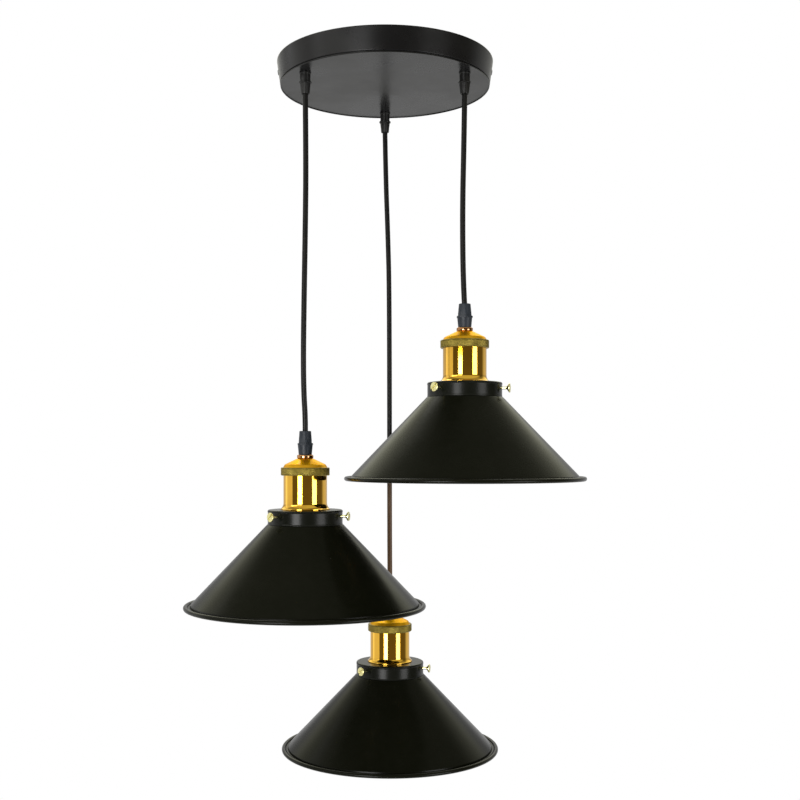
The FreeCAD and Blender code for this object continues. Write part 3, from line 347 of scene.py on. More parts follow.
# A Mix node's inputs A and B and its result, by number, for each kind of data
MIX_SOCKETS = {"FLOAT": (2, 3, 0), "RGBA": (6, 7, 2)}

MASK = [("Mask", "NodeSocketFloat")]
RELIEF = [("Height", "NodeSocketFloat"), ("Normal", "NodeSocketVector")]


def feed(tree, socket, value):
    """Leads another node's output into a socket, or sets it to a number or a colour (red, green, blue)."""
    if isinstance(value, bpy.types.NodeSocket):
        tree.links.new(value, socket)
    elif isinstance(value, tuple):
        socket.default_value = (*value, 1.0)
    else:
        socket.default_value = value


def math_node(tree, operation, first, second, clamp=False):
    node = tree.nodes.new("ShaderNodeMath")
    node.operation = operation
    node.use_clamp = clamp
    feed(tree, node.inputs[0], first)
    feed(tree, node.inputs[1], second)
    return node.outputs[0]


def range_node(tree, value, start, end, low=0.0, high=1.0, smooth=False):
    """The value, carried from the range between start and end to the one between low and high."""
    node = tree.nodes.new("ShaderNodeMapRange")
    if smooth:
        node.interpolation_type = "SMOOTHSTEP"
    for label, given in (("Value", value), ("From Min", start), ("From Max", end), ("To Min", low), ("To Max", high)):
        feed(tree, node.inputs[label], given)
    return node.outputs["Result"]


def mix_node(tree, mask, low, high, kind="RGBA"):
    """low where the mask is 0, high where it is 1."""
    node = tree.nodes.new("ShaderNodeMix")
    node.data_type = kind
    first, second, result = MIX_SOCKETS[kind]
    feed(tree, node.inputs["Factor"], mask)
    feed(tree, node.inputs[first], low)
    feed(tree, node.inputs[second], high)
    return node.outputs[result]


def noise_node(tree, vector, scale, detail, roughness=0.5):
    node = tree.nodes.new("ShaderNodeTexNoise")
    for label, given in (("Vector", vector), ("Scale", scale), ("Detail", detail), ("Roughness", roughness)):
        feed(tree, node.inputs[label], given)
    return node.outputs["Fac"]


def coordinates(tree, kind):
    return tree.nodes.new("ShaderNodeTexCoord").outputs[kind]


def split(tree, vector):
    """A vector's X, Y and Z."""
    node = tree.nodes.new("ShaderNodeSeparateXYZ")
    tree.links.new(vector, node.inputs[0])
    return node.outputs


# Effects that several finishes share

def new_group(name, inputs, outputs):
    """An empty shader group with named number inputs and outputs, and its two end nodes."""
    group = bpy.data.node_groups.new(name, "ShaderNodeTree")
    for label, value in inputs:
        socket = group.interface.new_socket(label, in_out="INPUT", socket_type="NodeSocketFloat")
        socket.default_value = value
    for label, kind in outputs:
        group.interface.new_socket(label, in_out="OUTPUT", socket_type=kind)
    return group, group.nodes.new("NodeGroupInput"), group.nodes.new("NodeGroupOutput")


def give_relief(group, into, out, noise):
    """Gives out the noise as a height, with the normal that it bends by the group's strength and distance."""
    bump = group.nodes.new("ShaderNodeBump")
    group.links.new(noise, bump.inputs["Height"])
    group.links.new(into.outputs["Strength"], bump.inputs["Strength"])
    group.links.new(into.outputs["Distance"], bump.inputs["Distance"])
    group.links.new(noise, out.inputs["Height"])
    group.links.new(bump.outputs["Normal"], out.inputs["Normal"])


def make_patches_group():
    """Soft patches: noise over the object, spread between two thresholds, as a mask."""
    group, into, out = new_group("patches", [("Scale", 30.0), ("Low", 0.4), ("High", 0.65)], MASK)
    noise = noise_node(group, coordinates(group, "Object"), into.outputs["Scale"], detail=5.0, roughness=0.6)
    mask = range_node(group, noise, into.outputs["Low"], into.outputs["High"], smooth=True)
    group.links.new(mask, out.inputs["Mask"])
    return group


def make_grain_group():
    """Fine even grain, as of sprayed paint or moulded plastic."""
    group, into, out = new_group("grain", [("Scale", 1500.0), ("Strength", 0.1), ("Distance", 0.0001)], RELIEF)
    give_relief(group, into, out, noise_node(group, coordinates(group, "Object"), into.outputs["Scale"], detail=2.0))
    return group


def make_turning_group():
    """Rings left by a spinning or turning tool: noise that changes only along the outline, the map's second axis."""
    group, into, out = new_group(
        "turning_marks", [("Rings per mm", 1.5), ("Strength", 0.1), ("Distance", 0.00005)], RELIEF)
    way = math_node(group, "MULTIPLY", split(group, coordinates(group, "UV"))["Y"], into.outputs["Rings per mm"])
    line = group.nodes.new("ShaderNodeCombineXYZ")
    group.links.new(way, line.inputs["X"])
    give_relief(group, into, out, noise_node(group, line.outputs[0], 1.0, detail=3.0, roughness=0.7))
    return group


def make_dust_group():
    """A thin film of dust on what faces up, broken by noise, as a mask."""
    group, into, out = new_group("dust", [("Amount", 0.3), ("Scale", 90.0)], MASK)
    facing = split(group, group.nodes.new("ShaderNodeNewGeometry").outputs["Normal"])["Z"]
    upward = math_node(group, "MULTIPLY", facing, into.outputs["Amount"], clamp=True)
    noise = noise_node(group, coordinates(group, "Object"), into.outputs["Scale"], detail=6.0, roughness=0.65)
    group.links.new(math_node(group, "MULTIPLY", upward, noise, clamp=True), out.inputs["Mask"])
    return group


patches = make_patches_group()
grain = make_grain_group()
turning_marks = make_turning_group()
dust = make_dust_group()

DUST_COLOUR = (0.32, 0.31, 0.28)


# Finishes

class Finish:
    """A material under construction: a Principled shader, and the effects that lead into it."""

    def __init__(self, name, roughness, **constants):
        self.material = bpy.data.materials.new(name)
        self.material.use_nodes = True
        self.tree = self.material.node_tree
        self.shader = next(node for node in self.tree.nodes if node.type == "BSDF_PRINCIPLED")
        self.shader.inputs["Roughness"].default_value = roughness
        for label, value in constants.items():
            self.shader.inputs[label.replace("_", " ")].default_value = value

    def effect(self, group, **values):
        """The outputs of an effect with these settings."""
        node = self.tree.nodes.new("ShaderNodeGroup")
        node.node_tree = group
        for label, value in values.items():
            node.inputs[label.replace("_", " ")].default_value = value
        return node.outputs

    def mix(self, mask, low, high):
        """Two colours mixed by a mask; low may be the result of another mix."""
        return mix_node(self.tree, mask, low, high)

    def spread(self, mask, low, high):
        return range_node(self.tree, mask, 0.0, 1.0, low, high)

    def wire(self, **sockets):
        """Leads the results into the shader's sockets and hands over the material."""
        for label, source in sockets.items():
            self.tree.links.new(source, self.shader.inputs[label.replace("_", " ")])
        return self.material


def sprayed_paint(name, colour, worn, roughness, rings, spray, dust_amount, **constants):
    """Satin paint on spun steel: faint rings below it, fine spray grain, patchy gloss and a little dust.

    rings and spray are the strengths of the rings and of the grain, and roughness is (least, most).
    """
    finish = Finish(name, roughness[0], **constants)
    patch = finish.effect(patches, Scale=14.0, Low=0.35, High=0.7)["Mask"]
    film = finish.effect(dust, Amount=dust_amount, Scale=120.0)["Mask"]
    below = finish.effect(turning_marks, Rings_per_mm=0.55, Strength=rings, Distance=0.00008)
    above = finish.effect(grain, Scale=1400.0, Strength=spray, Distance=0.00004)
    relief = finish.tree.nodes.new("ShaderNodeBump")
    relief.inputs["Strength"].default_value = spray
    relief.inputs["Distance"].default_value = 0.00004
    finish.tree.links.new(below["Normal"], relief.inputs["Normal"])
    finish.tree.links.new(above["Height"], relief.inputs["Height"])
    base = finish.mix(patch, colour, worn)
    return finish.wire(Base_Color=finish.mix(film, base, DUST_COLOUR),
                       Roughness=finish.spread(patch, *roughness), Normal=relief.outputs["Normal"])


def brass(name, bright, tarnish, roughness, rings, strength, patch_scale=45.0, coat=0.0, coat_index=1.5,
          edge=(1.0, 1.0, 1.0)):
    """Brass or copper, bare or lacquered, with turning marks; tarnish and roughness gather in soft patches.

    rings is the number of turning marks in a mm, strength how deep they look, edge the tint at grazing angles.
    """
    finish = Finish(name, roughness[0], Metallic=1.0, Specular_Tint=(*edge, 1.0), Coat_Weight=coat,
                    Coat_Roughness=0.05, Coat_IOR=coat_index)
    patch = finish.effect(patches, Scale=patch_scale, Low=0.42, High=0.72)["Mask"]
    marks = finish.effect(turning_marks, Rings_per_mm=rings, Strength=strength, Distance=0.00003)
    return finish.wire(Base_Color=finish.mix(patch, bright, tarnish),
                       Roughness=finish.spread(patch, *roughness), Normal=marks["Normal"])


def moulded(name, colour, cloud_colour, roughness, grain_scale, strength, **constants):
    """Moulded plastic: a fine matt grain and slight clouds of colour."""
    finish = Finish(name, roughness[0], **constants)
    cloud = finish.effect(patches, Scale=60.0, Low=0.3, High=0.75)["Mask"]
    skin = finish.effect(grain, Scale=grain_scale, Strength=strength, Distance=0.00005)
    return finish.wire(Base_Color=finish.mix(cloud, colour, cloud_colour),
                       Roughness=finish.spread(cloud, *roughness), Normal=skin["Normal"])


def cord_rubber():
    """The cords' black sheath: fine grain; the back cord gets a painted brown reflection where it hangs lowest."""
    finish = Finish("cord_black", 0.34, Specular_IOR_Level=0.12)
    cloud = finish.effect(patches, Scale=60.0, Low=0.3, High=0.75)["Mask"]
    skin = finish.effect(grain, Scale=900.0, Strength=0.2, Distance=0.00005)
    place = split(finish.tree, coordinates(finish.tree, "Object"))
    # painted reflection: the back cord turns brown below these heights, as if it reflected the brass
    low = range_node(finish.tree, place["Z"], BROWN_REFLECTION_FROM, BROWN_REFLECTION_IN_FULL, smooth=True)
    behind = math_node(finish.tree, "GREATER_THAN", place["Y"], BROWN_REFLECTION_BEHIND)
    painted_reflection = math_node(finish.tree, "MULTIPLY", low, behind)
    base = finish.mix(cloud, (0.004, 0.004, 0.004), (0.0065, 0.006, 0.0055))
    return finish.wire(Base_Color=finish.mix(painted_reflection, base, (0.1, 0.06, 0.035)), Normal=skin["Normal"])


def plated_steel(name, bright, dull, roughness):
    """Zinc-plated steel with a cloudy, finely grained surface."""
    finish = Finish(name, roughness[0], Metallic=1.0)
    cloud = finish.effect(patches, Scale=80.0, Low=0.35, High=0.7)["Mask"]
    skin = finish.effect(grain, Scale=2500.0, Strength=0.3, Distance=0.00004)
    return finish.wire(Base_Color=finish.mix(cloud, bright, dull),
                       Roughness=finish.spread(cloud, *roughness), Normal=skin["Normal"])


def core_insulation():
    """Insulation of the hidden cores, which share a node: brown in some places and blue in others."""
    finish = Finish("core_insulation", 0.35)
    cloud = finish.effect(patches, Scale=9.0, Low=0.45, High=0.55)["Mask"]
    skin = finish.effect(grain, Scale=1500.0, Strength=0.1, Distance=0.00003)
    return finish.wire(Base_Color=finish.mix(cloud, (0.13, 0.05, 0.02), (0.03, 0.09, 0.3)), Normal=skin["Normal"])


def glazed_porcelain():
    """White porcelain under a clear glaze, with faint grey specks."""
    finish = Finish("glazed_porcelain", 0.3, Coat_Weight=0.8, Coat_Roughness=0.06)
    speck = finish.effect(patches, Scale=400.0, Low=0.66, High=0.72)["Mask"]
    skin = finish.effect(grain, Scale=300.0, Strength=0.08, Distance=0.0001)
    return finish.wire(Base_Color=finish.mix(speck, (0.84, 0.82, 0.77), (0.5, 0.47, 0.42)), Normal=skin["Normal"])


shade_black = sprayed_paint(
    "shade_black", (0.0023, 0.0026, 0.0011), (0.0029, 0.0032, 0.0015), (0.22, 0.28),
    rings=0.1, spray=0.12, dust_amount=0.01, Specular_IOR_Level=0.08)
canopy_black = sprayed_paint(
    "canopy_black", (0.0035, 0.0035, 0.004), (0.0055, 0.0055, 0.0055), (0.26, 0.36),
    rings=0.12, spray=0.1, dust_amount=0.02, Specular_IOR_Level=0.2)
collar_black = sprayed_paint(
    "collar_black", (0.003, 0.0036, 0.0026), (0.0045, 0.005, 0.0036), (0.23, 0.28),
    rings=0.12, spray=0.08, dust_amount=0.01, Specular_IOR_Level=0.12)
barrel_gold = brass(
    "barrel_gold", (0.78, 0.43, 0.008), (0.68, 0.36, 0.006), (0.05, 0.1),
    rings=3.0, strength=0.03, coat=0.8, coat_index=1.65, edge=(0.85, 0.7, 0.35))
dome_gold = brass(
    "dome_gold", (0.72, 0.38, 0.012), (0.6, 0.3, 0.01), (0.4, 0.48),
    rings=2.0, strength=0.05, coat=0.2, edge=(0.95, 0.72, 0.25))
antique_brass = brass(
    "antique_brass", (0.21, 0.16, 0.035), (0.15, 0.115, 0.022), (0.38, 0.48),
    rings=4.0, strength=0.2, patch_scale=160.0)
copper_bead = brass(
    "copper_bead", (0.4, 0.2, 0.08), (0.3, 0.14, 0.055), (0.12, 0.18),
    rings=3.0, strength=0.04, coat=0.5, edge=(0.6, 0.36, 0.2))
screw_brass = brass(
    "screw_brass", (0.8, 0.76, 0.4), (0.62, 0.55, 0.24), (0.24, 0.4), rings=1.0, strength=0.0, patch_scale=150.0)
inner_brass = brass(
    "inner_brass", (0.78, 0.62, 0.3), (0.55, 0.4, 0.16), (0.25, 0.4), rings=1.0, strength=0.0, patch_scale=90.0)
outlet_black = moulded(
    "outlet_black", (0.0025, 0.0025, 0.0025), (0.0045, 0.0045, 0.0045), (0.34, 0.44),
    grain_scale=700.0, strength=0.5, Specular_IOR_Level=0.25)
grip_black = moulded(
    "grip_black", (0.008, 0.0115, 0.018), (0.012, 0.0165, 0.024), (0.42, 0.54),
    grain_scale=900.0, strength=0.4, Specular_IOR_Level=0.26)
nylon_white = moulded(
    "nylon_white", (0.8, 0.79, 0.74), (0.7, 0.69, 0.63), (0.4, 0.5),
    grain_scale=700.0, strength=0.15, Subsurface_Weight=0.1)
cord_black = cord_rubber()
zinc_steel = plated_steel("zinc_steel", (0.62, 0.61, 0.57), (0.42, 0.41, 0.38), (0.28, 0.45))
porcelain = glazed_porcelain()
insulation = core_insulation()

# Finishes of the CAD nodes that no piece replaces, in the canopy and in each lamp
CANOPY_FINISHES = {
    "mounting_bracket": zinc_steel, "terminal_block": nylon_white, "terminal_clamps": inner_brass,
    "terminal_screws": zinc_steel, "bracket_screws": zinc_steel, "canopy_grip_nuts": grip_black,
    "canopy_wiring": insulation,
}
LAMP_FINISHES = {
    "wires": insulation, "porcelain_insert": porcelain, "thread_shell": inner_brass, "contacts": inner_brass,
    "shade_ring_nut": collar_black,
}


# Pieces of the canopy

def canopy_cover():
    """The dish, with a groove and a fine lip round the fold between its wall and its floor."""
    outline = rounded([
        (0, CANOPY_FLOOR, 0), (98.1, CANOPY_FLOOR, 0.15),
        # the lip and the groove above it
        (98.1, CANOPY_FLOOR - 0.7, 0.2), (98.9, CANOPY_FLOOR - 0.7, 0.2), (98.9, CANOPY_FLOOR - 0.1, 0.15),
        (98.0, CANOPY_FLOOR + 0.1, 0.15), (98.0, CANOPY_FLOOR + 0.9, 0.15),
        # the wall, outside and inside
        (99.2, CANOPY_FLOOR + 1.3, 0.3), (CANOPY_RADIUS, WALL_TOP, 0.4), (CANOPY_RADIUS, 0, 0.25),
        (CANOPY_RADIUS - 1, 0, 0.25), (97.8, CANOPY_FLOOR + 1.6, 0.5), (0, CANOPY_FLOOR + 1.0, 0),
    ])
    canopy_piece("canopy_dish", outline, 256, [(0, 0, 0)], canopy_black, "canopy_cover")


def outlet_places():
    """Where the three cords leave the canopy, at the ceiling's height."""
    return [(*pivot_of(side)[:2], 0.0) for side in SIDES]


def canopy_grip_bodies():
    """Threaded stem, barrel and round ridge of each cord grip below the canopy."""
    outline = rounded([
        # the bore and the seat of the cap
        (2.9, STEM_TOP), (2.9, -35.8), (3.75, -35.8), (3.75, OUTLET_RIDGE_LOW),
        # the ridge and the barrel, with its foot at the canopy
        (5.8, OUTLET_RIDGE_LOW, 0.4), (5.8, OUTLET_RIDGE_TOP, 0.4), (4.7, OUTLET_RIDGE_TOP),
        (4.8, CANOPY_FLOOR - 1.4, 0.2), (5.3, CANOPY_FLOOR - 1.2, 0.2), (5.3, CANOPY_FLOOR, 0.2),
        (4.0, CANOPY_FLOOR), (4.0, STEM_TOP),
    ])
    canopy_piece("canopy_grip_barrels", outline, 144, outlet_places(), outlet_black, "canopy_grips")


def canopy_grip_caps():
    """Tapered cap of each cord grip, six-sided where it is widest."""
    outline = rounded([
        # the bore, wide over the body's end and narrow round the cord, with its mouth
        (3.85, OUTLET_RIDGE_LOW), (3.85, -36.0), (2.9, -36.0), (2.9, -40.8), (3.35, OUTLET_MOUTH + 0.1, 0.1),
        # the taper
        (3.9, OUTLET_MOUTH, 0.2), (5.1, OUTLET_RIDGE_LOW - 0.05, 0.2),
    ])
    canopy_piece("canopy_grip_tips", outline, 144, outlet_places(), outlet_black, "canopy_grip_caps",
                 hexagon_carve(4.62, OUTLET_MOUTH, OUTLET_RIDGE_LOW))


def canopy_side_screws():
    """Low round heads set square to the sloping wall, one at each end of the strap, with their shanks inside."""
    outline = rounded([
        # the head, from its middle to its seat on the wall, and the shank
        (0, 0.75, 0), (1.6, 0.7, 1.0), (2.8, 0.25, 0.3), (2.9, -0.05), (1.85, -0.05), (1.85, -5.5), (0, -5.5, 0),
    ])
    reach = CANOPY_RADIUS - WALL_LEAN * (WALL_TOP - SIDE_SCREW_HEIGHT)
    places = []
    for way in (-1, 1):
        turn = Matrix.Rotation(way * (math.pi / 2 + math.atan(WALL_LEAN)), 4, "Y")
        places.append(Matrix.Translation((way * reach * MM, 0, SIDE_SCREW_HEIGHT * MM)) @ turn)
    canopy_piece("canopy_screw_heads", outline, 96, places, canopy_black, "canopy_side_screws")


# Pieces of a lamp

def grip_parts(side):
    """The lamp's cord grip: a barrel with a six-sided ridge, and the tapered cap above it."""
    grip_barrel = rounded([
        # the barrel widens upwards to the ridge
        (TUBE_HOLE, BEAD_TOP), (6.0, BEAD_TOP, 0.2), (6.8, RIDGE_LOW - 0.2, 0.2),
        (RIDGE_RADIUS, RIDGE_LOW, 0.3), (RIDGE_RADIUS, RIDGE_TOP, 0.5),
        # the collet inside the cap, and the bore, wide over the tube and narrow round the cord
        (4.3, RIDGE_TOP), (4.3, 80.1), (CORD_HOLE, 80.1), (CORD_HOLE, 70.2), (TUBE_HOLE, 70.2),
    ])
    lamp_piece(side, "grip_barrel", grip_barrel, 144, grip_black, "grip_body",
               hexagon_carve(6.75, 66.0, RIDGE_TOP + 0.1))
    cap = rounded([
        # the taper
        (4.4, RIDGE_TOP), (6.35, RIDGE_TOP + 0.05, 0.2), (6.2, 76.5, 0.8), (5.3, GRIP_TOP, 0.6),
        # the bore, narrow round the cord and wide over the collet
        (CORD_HOLE, GRIP_TOP, 0.3), (CORD_HOLE, 80.3), (4.4, 80.3),
    ])
    lamp_piece(side, "grip_tip", cap, 144, grip_black, "grip_cap",
               hexagon_carve(5.75, RIDGE_TOP, GRIP_TOP))


def nipple_bead(side):
    """The rounded bead between the grip and the dome, on its threaded tube."""
    outline = rounded([
        (3.4, 54.5), (TUBE_RADIUS, 54.5), (TUBE_RADIUS, DOME_TOP), (BEAD_RADIUS, DOME_TOP, 1.2),
        (BEAD_RADIUS, BEAD_TOP, 1.2), (TUBE_RADIUS, BEAD_TOP), (TUBE_RADIUS, 70.0), (3.4, 70.0),
    ], facets=8)
    lamp_piece(side, "bead", outline, 128, copper_bead, "nipple")


def brass_cap(side):
    """The dome, a rounded shoulder and a shallow slope up to its neck, and the knurled band below it.

    The node that they stand for is one solid; the dome and the band differ in finish, so they are two pieces.
    """
    dome = rounded([
        # outside: the foot in the band, the shoulder and the slope to the neck
        (20.2, DOME_LOW - 0.3), (20.2, DOME_LOW, 0.1), (18.7, DOME_LOW + 2.7, 2.6), (7.7, DOME_TOP, 0.3),
        # the hole for the tube, and the inside
        (TUBE_HOLE, DOME_TOP), (TUBE_HOLE, DOME_TOP - 1.4), (7.5, DOME_TOP - 1.4, 0.3),
        (18.0, DOME_LOW + 1.7, 1.5), (19.0, DOME_LOW - 0.3),
    ], facets=8)
    lamp_piece(side, "dome", dome, 160, dome_gold, None)
    corners = rounded_corners([
        (19.95, CAP_LOW), (BAND_RADIUS, CAP_LOW, 0.9), (BAND_RADIUS, DOME_LOW, 0.9), (19.4, DOME_LOW, 0.2),
        (19.95, DOME_LOW - 0.9),
    ], facets=8)
    rows = np.linspace(CAP_LOW + 1.0, DOME_LOW - 1.0, 22)
    wall = np.stack((np.full_like(rows, BAND_RADIUS), rows), axis=1)
    band = np.concatenate((*corners[:2], wall, *corners[2:]))
    lamp_piece(side, "knurled_band", band, 704, antique_brass, "holder_cap", knurl_carve)


def barrel(side):
    """The polished barrel, its flare with a thin lip, and the skirt inside the collar.

    The flare is a cove: an arc that starts upright at the barrel and turns out by 51 degrees.
    """
    cove_radius, cove_top = 6.4, BARREL_LOW + 0.4
    turn = np.radians(np.linspace(51, 0, 14))
    cove = np.stack((BARREL_RADIUS + cove_radius * (1 - np.cos(turn)), cove_top - cove_radius * np.sin(turn)), axis=1)
    lip_low = COLLAR_TOP + 0.02
    corners = rounded_corners([
        # the bore and the skirt, and the lip on which the flare ends
        (BARREL_BORE, BARREL_TOP), (BARREL_BORE, SKIRT_LOW), (SKIRT_RADIUS, SKIRT_LOW), (SKIRT_RADIUS, lip_low),
        (FLARE_RADIUS, lip_low, 0.2), (FLARE_RADIUS, COLLAR_TOP + 0.95, 0.25), (*cove[0], 0),
    ])
    wall = [(BARREL_RADIUS, BARREL_LOW + 0.8), (BARREL_RADIUS, BARREL_TOP - 0.5), (BARREL_RADIUS, BARREL_TOP - 0.1),
            (BARREL_RADIUS - 0.1, BARREL_TOP)]
    outline = np.concatenate((*corners[:-1], cove, wall))
    lamp_piece(side, "barrel", outline, 192, barrel_gold, "holder_shell")


def collar(side):
    """The black cup that holds the shade: rounded shoulder, a shallow step below it and a rolled lower edge."""
    inner_radius, waist_radius = 33.25, 34.05
    outline = rounded([
        # the inside, then the rolled edge, the waist and the shoulder outside
        (COLLAR_BORE, COLLAR_TOP - 1.2), (inner_radius, COLLAR_TOP - 1.2, 0.6), (inner_radius, 0), (34.1, 0, 0.35),
        (COLLAR_RADIUS, 0.9, 0.3), (waist_radius, 1.5, 0.3), (waist_radius, 11.2, 0.3), (COLLAR_RADIUS, 11.6, 0.3),
        (COLLAR_RADIUS, COLLAR_TOP, 1.5), (COLLAR_BORE, COLLAR_TOP),
    ])
    lamp_piece(side, "collar", outline, 224, collar_black, "gallery_collar")


def shade(side):
    """The spun cone: a short neck, a rounded shoulder, a straight cone, a narrow ledge and a rolled bead.

    The bead is an arc of 343 degrees from the ledge round and back to it. The cone's outer side is cut into 17
    steps, so that its faces aren't long slivers.
    """
    widening = (103.0 - 34.9) / 71.3
    bead_centre, bead_radius = (108.0, -74.2), 2.0
    turn = np.radians(np.linspace(178, -165, 34))
    bead = bead_centre + bead_radius * np.stack((np.cos(turn), np.sin(turn)), axis=1)
    corners = rounded_corners([
        # the neck and the shoulder
        (31.2, 10.5, 0.2), (32.0, 10.5, 0.2), (32.0, 0.2, 0.6), (34.7, -0.05, 1.2),
        # the ledge above and below, with the bead between them
        (103.4, -71.7, 0.3), (103.9, -74.0, 0.3), (*bead[0], 0), (*bead[-1], 0), (103.4, -75.0, 0.3),
        (102.4, -72.2, 0.3),
        # the inside
        (34.5 + widening * 0.8 - 1.1, -0.8, 0.8), (31.2, -0.8, 0.4),
    ])
    start, end = corners[3][-1], corners[4][0]
    cone = start + (end - start) * np.linspace(0, 1, 18)[1:-1, None]
    outline = np.concatenate((*corners[:4], cone, *corners[4:6], bead, *corners[8:]))
    lamp_piece(side, "shade_cone", outline, 288, shade_black, "shade")


def thumb_screw(side, number):
    """A slotted thumb screw with a trumpet-shaped head; it lies along its joint's axis and points at the lamp.

    The head's face is cut into fine rings, and lowered wherever it is within half the slot's width of a line
    at 45 degrees.
    """
    name = side + "_thumb_screw_" + str(number)
    outward = np.array(joints[name + "_travel"]["axis"], float)
    right = np.cross((0.0, 0.0, 1.0), outward)
    lamp = lamp_origin(side)
    turn = Matrix(((right[0], 0, outward[0], lamp[0]), (right[1], 0, outward[1], lamp[1]),
                   (0, 1, 0, lamp[2] + THUMB_HEIGHT * MM), (0, 0, 0, 1)))
    corners = rounded_corners([
        (0, THUMB_TIP, 0), (THUMB_SHANK_RADIUS, THUMB_TIP, 0.3), (THUMB_SHANK_RADIUS, THUMB_HEAD, 0.5),
        (THUMB_HEAD_RADIUS, THUMB_RIM, 0.3), (THUMB_HEAD_RADIUS, THUMB_FACE, 0.4), (0, THUMB_FACE, 0),
    ])
    rings = np.linspace(THUMB_HEAD_RADIUS - FACE_EDGE, 0, FACE_RINGS)
    face = np.stack((rings, np.full_like(rings, THUMB_FACE)), axis=1)
    outline = np.concatenate((corners[0][-1:], *corners[1:-1], face))
    grid = turned_grid(outline, 160)
    bottom = THUMB_FACE - SLOT_DEPTH
    off = np.abs(grid[:, :, 0] - grid[:, :, 1]) / math.sqrt(2)
    slot = (off < SLOT_HALF_WIDTH) & (grid[:, :, 2] > bottom)
    grid[:, :, 2] = np.where(slot, bottom, grid[:, :, 2])
    screw = make_piece(name + "_brass", grid, outline, [turn], screw_brass, name, name)
    screw.data.set_sharp_from_angle(angle=SHARP_ANGLE)


def hanging_cord(side):
    """The free cord from its pivot in the canopy grip to its end in the lamp's grip."""
    top = pivot_of(side)
    bottom = lamp_origin(side)[2] + CORD_END * MM
    curve = bpy.data.curves.new(side + "_cable", "CURVE")
    curve.dimensions = "3D"
    curve.bevel_depth = CORD_RADIUS * MM
    curve.bevel_resolution = CORD_BEVEL
    curve.resolution_u = CORD_STEPS
    curve.use_fill_caps = True
    spline = curve.splines.new("NURBS")
    route = [(top[0] + sway * MM, top[1], top[2] + (bottom - top[2]) * share) for share, sway in CORD_ROUTES[side]]
    spline.points.add(len(route) - 1)
    for point, place in zip(spline.points, route):
        point.co = (*place, 1.0)
    spline.order_u = 3
    spline.use_endpoint_u = True
    curve.materials.append(cord_black)
    cable = bpy.data.objects.new(side + "_cable", curve)
    bpy.context.scene.collection.objects.link(cable)
    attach(cable, side + "_cord")
    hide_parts(side + "_cord")


def dress_node(node, finish):
    """Gives a CAD node its finish in place of the one that it came with."""
    piece = frame["nodes"][node]
    piece.data.materials.clear()
    piece.data.materials.append(finish)


def build_canopy():
    canopy_cover()
    canopy_grip_bodies()
    canopy_grip_caps()
    canopy_side_screws()
    for node, finish in CANOPY_FINISHES.items():
        dress_node(node, finish)


def build_lamp(side):
    for build in (hanging_cord, grip_parts, nipple_bead, brass_cap, barrel, collar, shade):
        build(side)
    for number in SCREW_NUMBERS:
        thumb_screw(side, number)
    for node, finish in LAMP_FINISHES.items():
        dress_node(side + "_" + node, finish)


# Studio

def area_light(name, place, target, size, brightness):
    """A soft window of that size in metres; a mirror would show it brightness times as bright as white."""
    light = bpy.data.lights.new(name, "AREA")
    light.shape = "RECTANGLE"
    light.size, light.size_y = size
    light.energy = brightness * math.pi * size[0] * size[1]
    lamp = bpy.data.objects.new(name, light)
    lamp.location = place
    lamp.rotation_mode = "QUATERNION"
    lamp.rotation_quaternion = (Vector(target) - Vector(place)).to_track_quat("-Z", "Y")
    bpy.context.scene.collection.objects.link(lamp)


def windows():
    """Lights round the lamps: azimuth is counted from the camera's side, positive to the right."""
    for name, azimuth, distance, height, target_height, size, brightness in WINDOWS:
        turn = math.radians(azimuth)
        place = (distance * math.sin(turn), -distance * math.cos(turn), height)
        area_light(name, place, (0.0, 0.0, target_height), size, brightness)


def eased(tree, source, stops):
    """Brightness eased between (value, brightness) stops, which take the place of the two that a ramp comes with."""
    node = tree.nodes.new("ShaderNodeValToRGB")
    ramp = node.color_ramp
    ramp.interpolation = "EASE"
    for place, level in stops:
        ramp.elements.new(place).color = (level, level, level, 1.0)
    ramp.elements.remove(ramp.elements[0])
    ramp.elements.remove(ramp.elements[-1])
    tree.links.new(source, node.inputs["Fac"])
    return node.outputs["Color"]


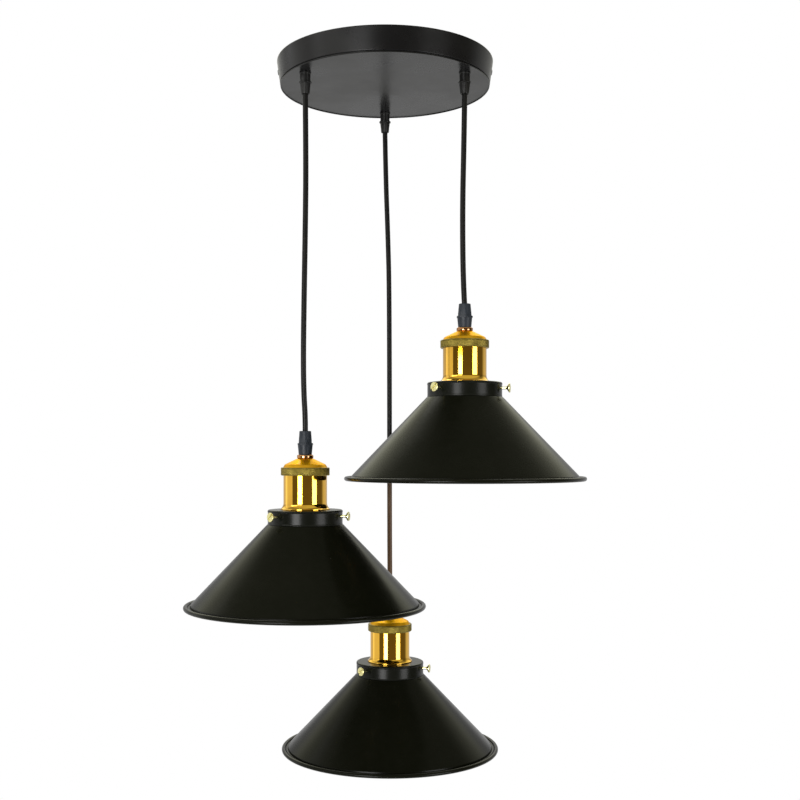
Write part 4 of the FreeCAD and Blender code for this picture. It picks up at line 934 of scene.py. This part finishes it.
def air():
    """The light from all round, by its direction: Y runs from the camera's side to the back, Z upwards.

    From below and from level it comes mostly from behind, and warm in front. From above it is brightest
    behind, with a dim zenith and a front of its own. The camera itself sees plain white.
    """
    world = bpy.data.worlds.new("studio_air")
    bpy.context.scene.world = world
    world.use_nodes = True
    tree = world.node_tree
    tree.nodes.clear()
    direction = split(tree, coordinates(tree, "Generated"))
    along, up = direction["Y"], direction["Z"]

    rear = eased(tree, along, ((0.1, 0.12), (0.3, 0.3), (0.5, 0.95), (0.75, 1.6), (0.98, 2.6)))
    zenith = eased(tree, up, ((0.45, 0.12), (0.8, 0.42)))
    front = range_node(tree, along, 0.05, -0.25, 0.0, 0.7)
    upper = math_node(tree, "MAXIMUM", math_node(tree, "MAXIMUM", rear, zenith), front)
    lower = math_node(tree, "MULTIPLY", eased(tree, along, ((0.12, 0.16), (0.5, 0.78))),
                      eased(tree, up, ((0.04, 1.0), (0.14, 0.66))))
    above = range_node(tree, up, 0.24, 0.38)
    brightness = mix_node(tree, above, lower, upper, "FLOAT")

    warm = mix_node(tree, range_node(tree, along, 0.3, 0.1), (1.0, 1.0, 1.0), (1.0, 0.82, 0.45))
    tint = mix_node(tree, above, warm, (1.0, 1.0, 0.77))

    room = tree.nodes.new("ShaderNodeBackground")
    tree.links.new(tint, room.inputs["Color"])
    tree.links.new(brightness, room.inputs["Strength"])
    seen = tree.nodes.new("ShaderNodeBackground")
    seen.inputs["Color"].default_value = (1.0, 1.0, 1.0, 1.0)
    seen.inputs["Strength"].default_value = 1.0
    choice = tree.nodes.new("ShaderNodeMixShader")
    tree.links.new(tree.nodes.new("ShaderNodeLightPath").outputs["Is Camera Ray"], choice.inputs["Fac"])
    tree.links.new(room.outputs[0], choice.inputs[1])
    tree.links.new(seen.outputs[0], choice.inputs[2])
    out = tree.nodes.new("ShaderNodeOutputWorld")
    tree.links.new(choice.outputs[0], out.inputs["Surface"])


def pale_floor():
    """A round floor far below the lamps, which shines a little so that it stays as pale as the air."""
    angles = np.linspace(0, 2 * np.pi, FLOOR_SIDES, endpoint=False)
    rim = [(FLOOR_REACH * math.cos(angle), FLOOR_REACH * math.sin(angle), FLOOR_HEIGHT) for angle in angles]
    mesh = bpy.data.meshes.new("floor")
    mesh.from_pydata(rim, [], [tuple(range(FLOOR_SIDES))])
    floor = bpy.data.objects.new("floor", mesh)
    bpy.context.scene.collection.objects.link(floor)
    pale = Finish("pale_floor", 0.8, Base_Color=(0.86, 0.86, 0.96, 1.0), Emission_Color=(1.0, 1.0, 1.0, 1.0),
                  Emission_Strength=0.33)
    mesh.materials.append(pale.material)


def camera():
    view = bpy.data.cameras.new("view")
    view.sensor_width = SENSOR
    view.lens = FOCAL_PIXELS / PICTURE * SENSOR
    view.shift_x = (PICTURE / 2 - AXIS_COLUMN) / PICTURE
    view.shift_y = (HORIZON_ROW - PICTURE / 2) / PICTURE
    view.clip_end = CLIP_END
    eye = bpy.data.objects.new("view", view)
    eye.location = CAMERA_PLACE
    eye.rotation_euler = (math.radians(90), 0.0, 0.0)
    bpy.context.scene.collection.objects.link(eye)
    bpy.context.scene.camera = eye


bpy.context.scene.view_settings.view_transform = "Standard"
camera()
air()
windows()
pale_floor()
build_canopy()
for side in SIDES:
    build_lamp(side)
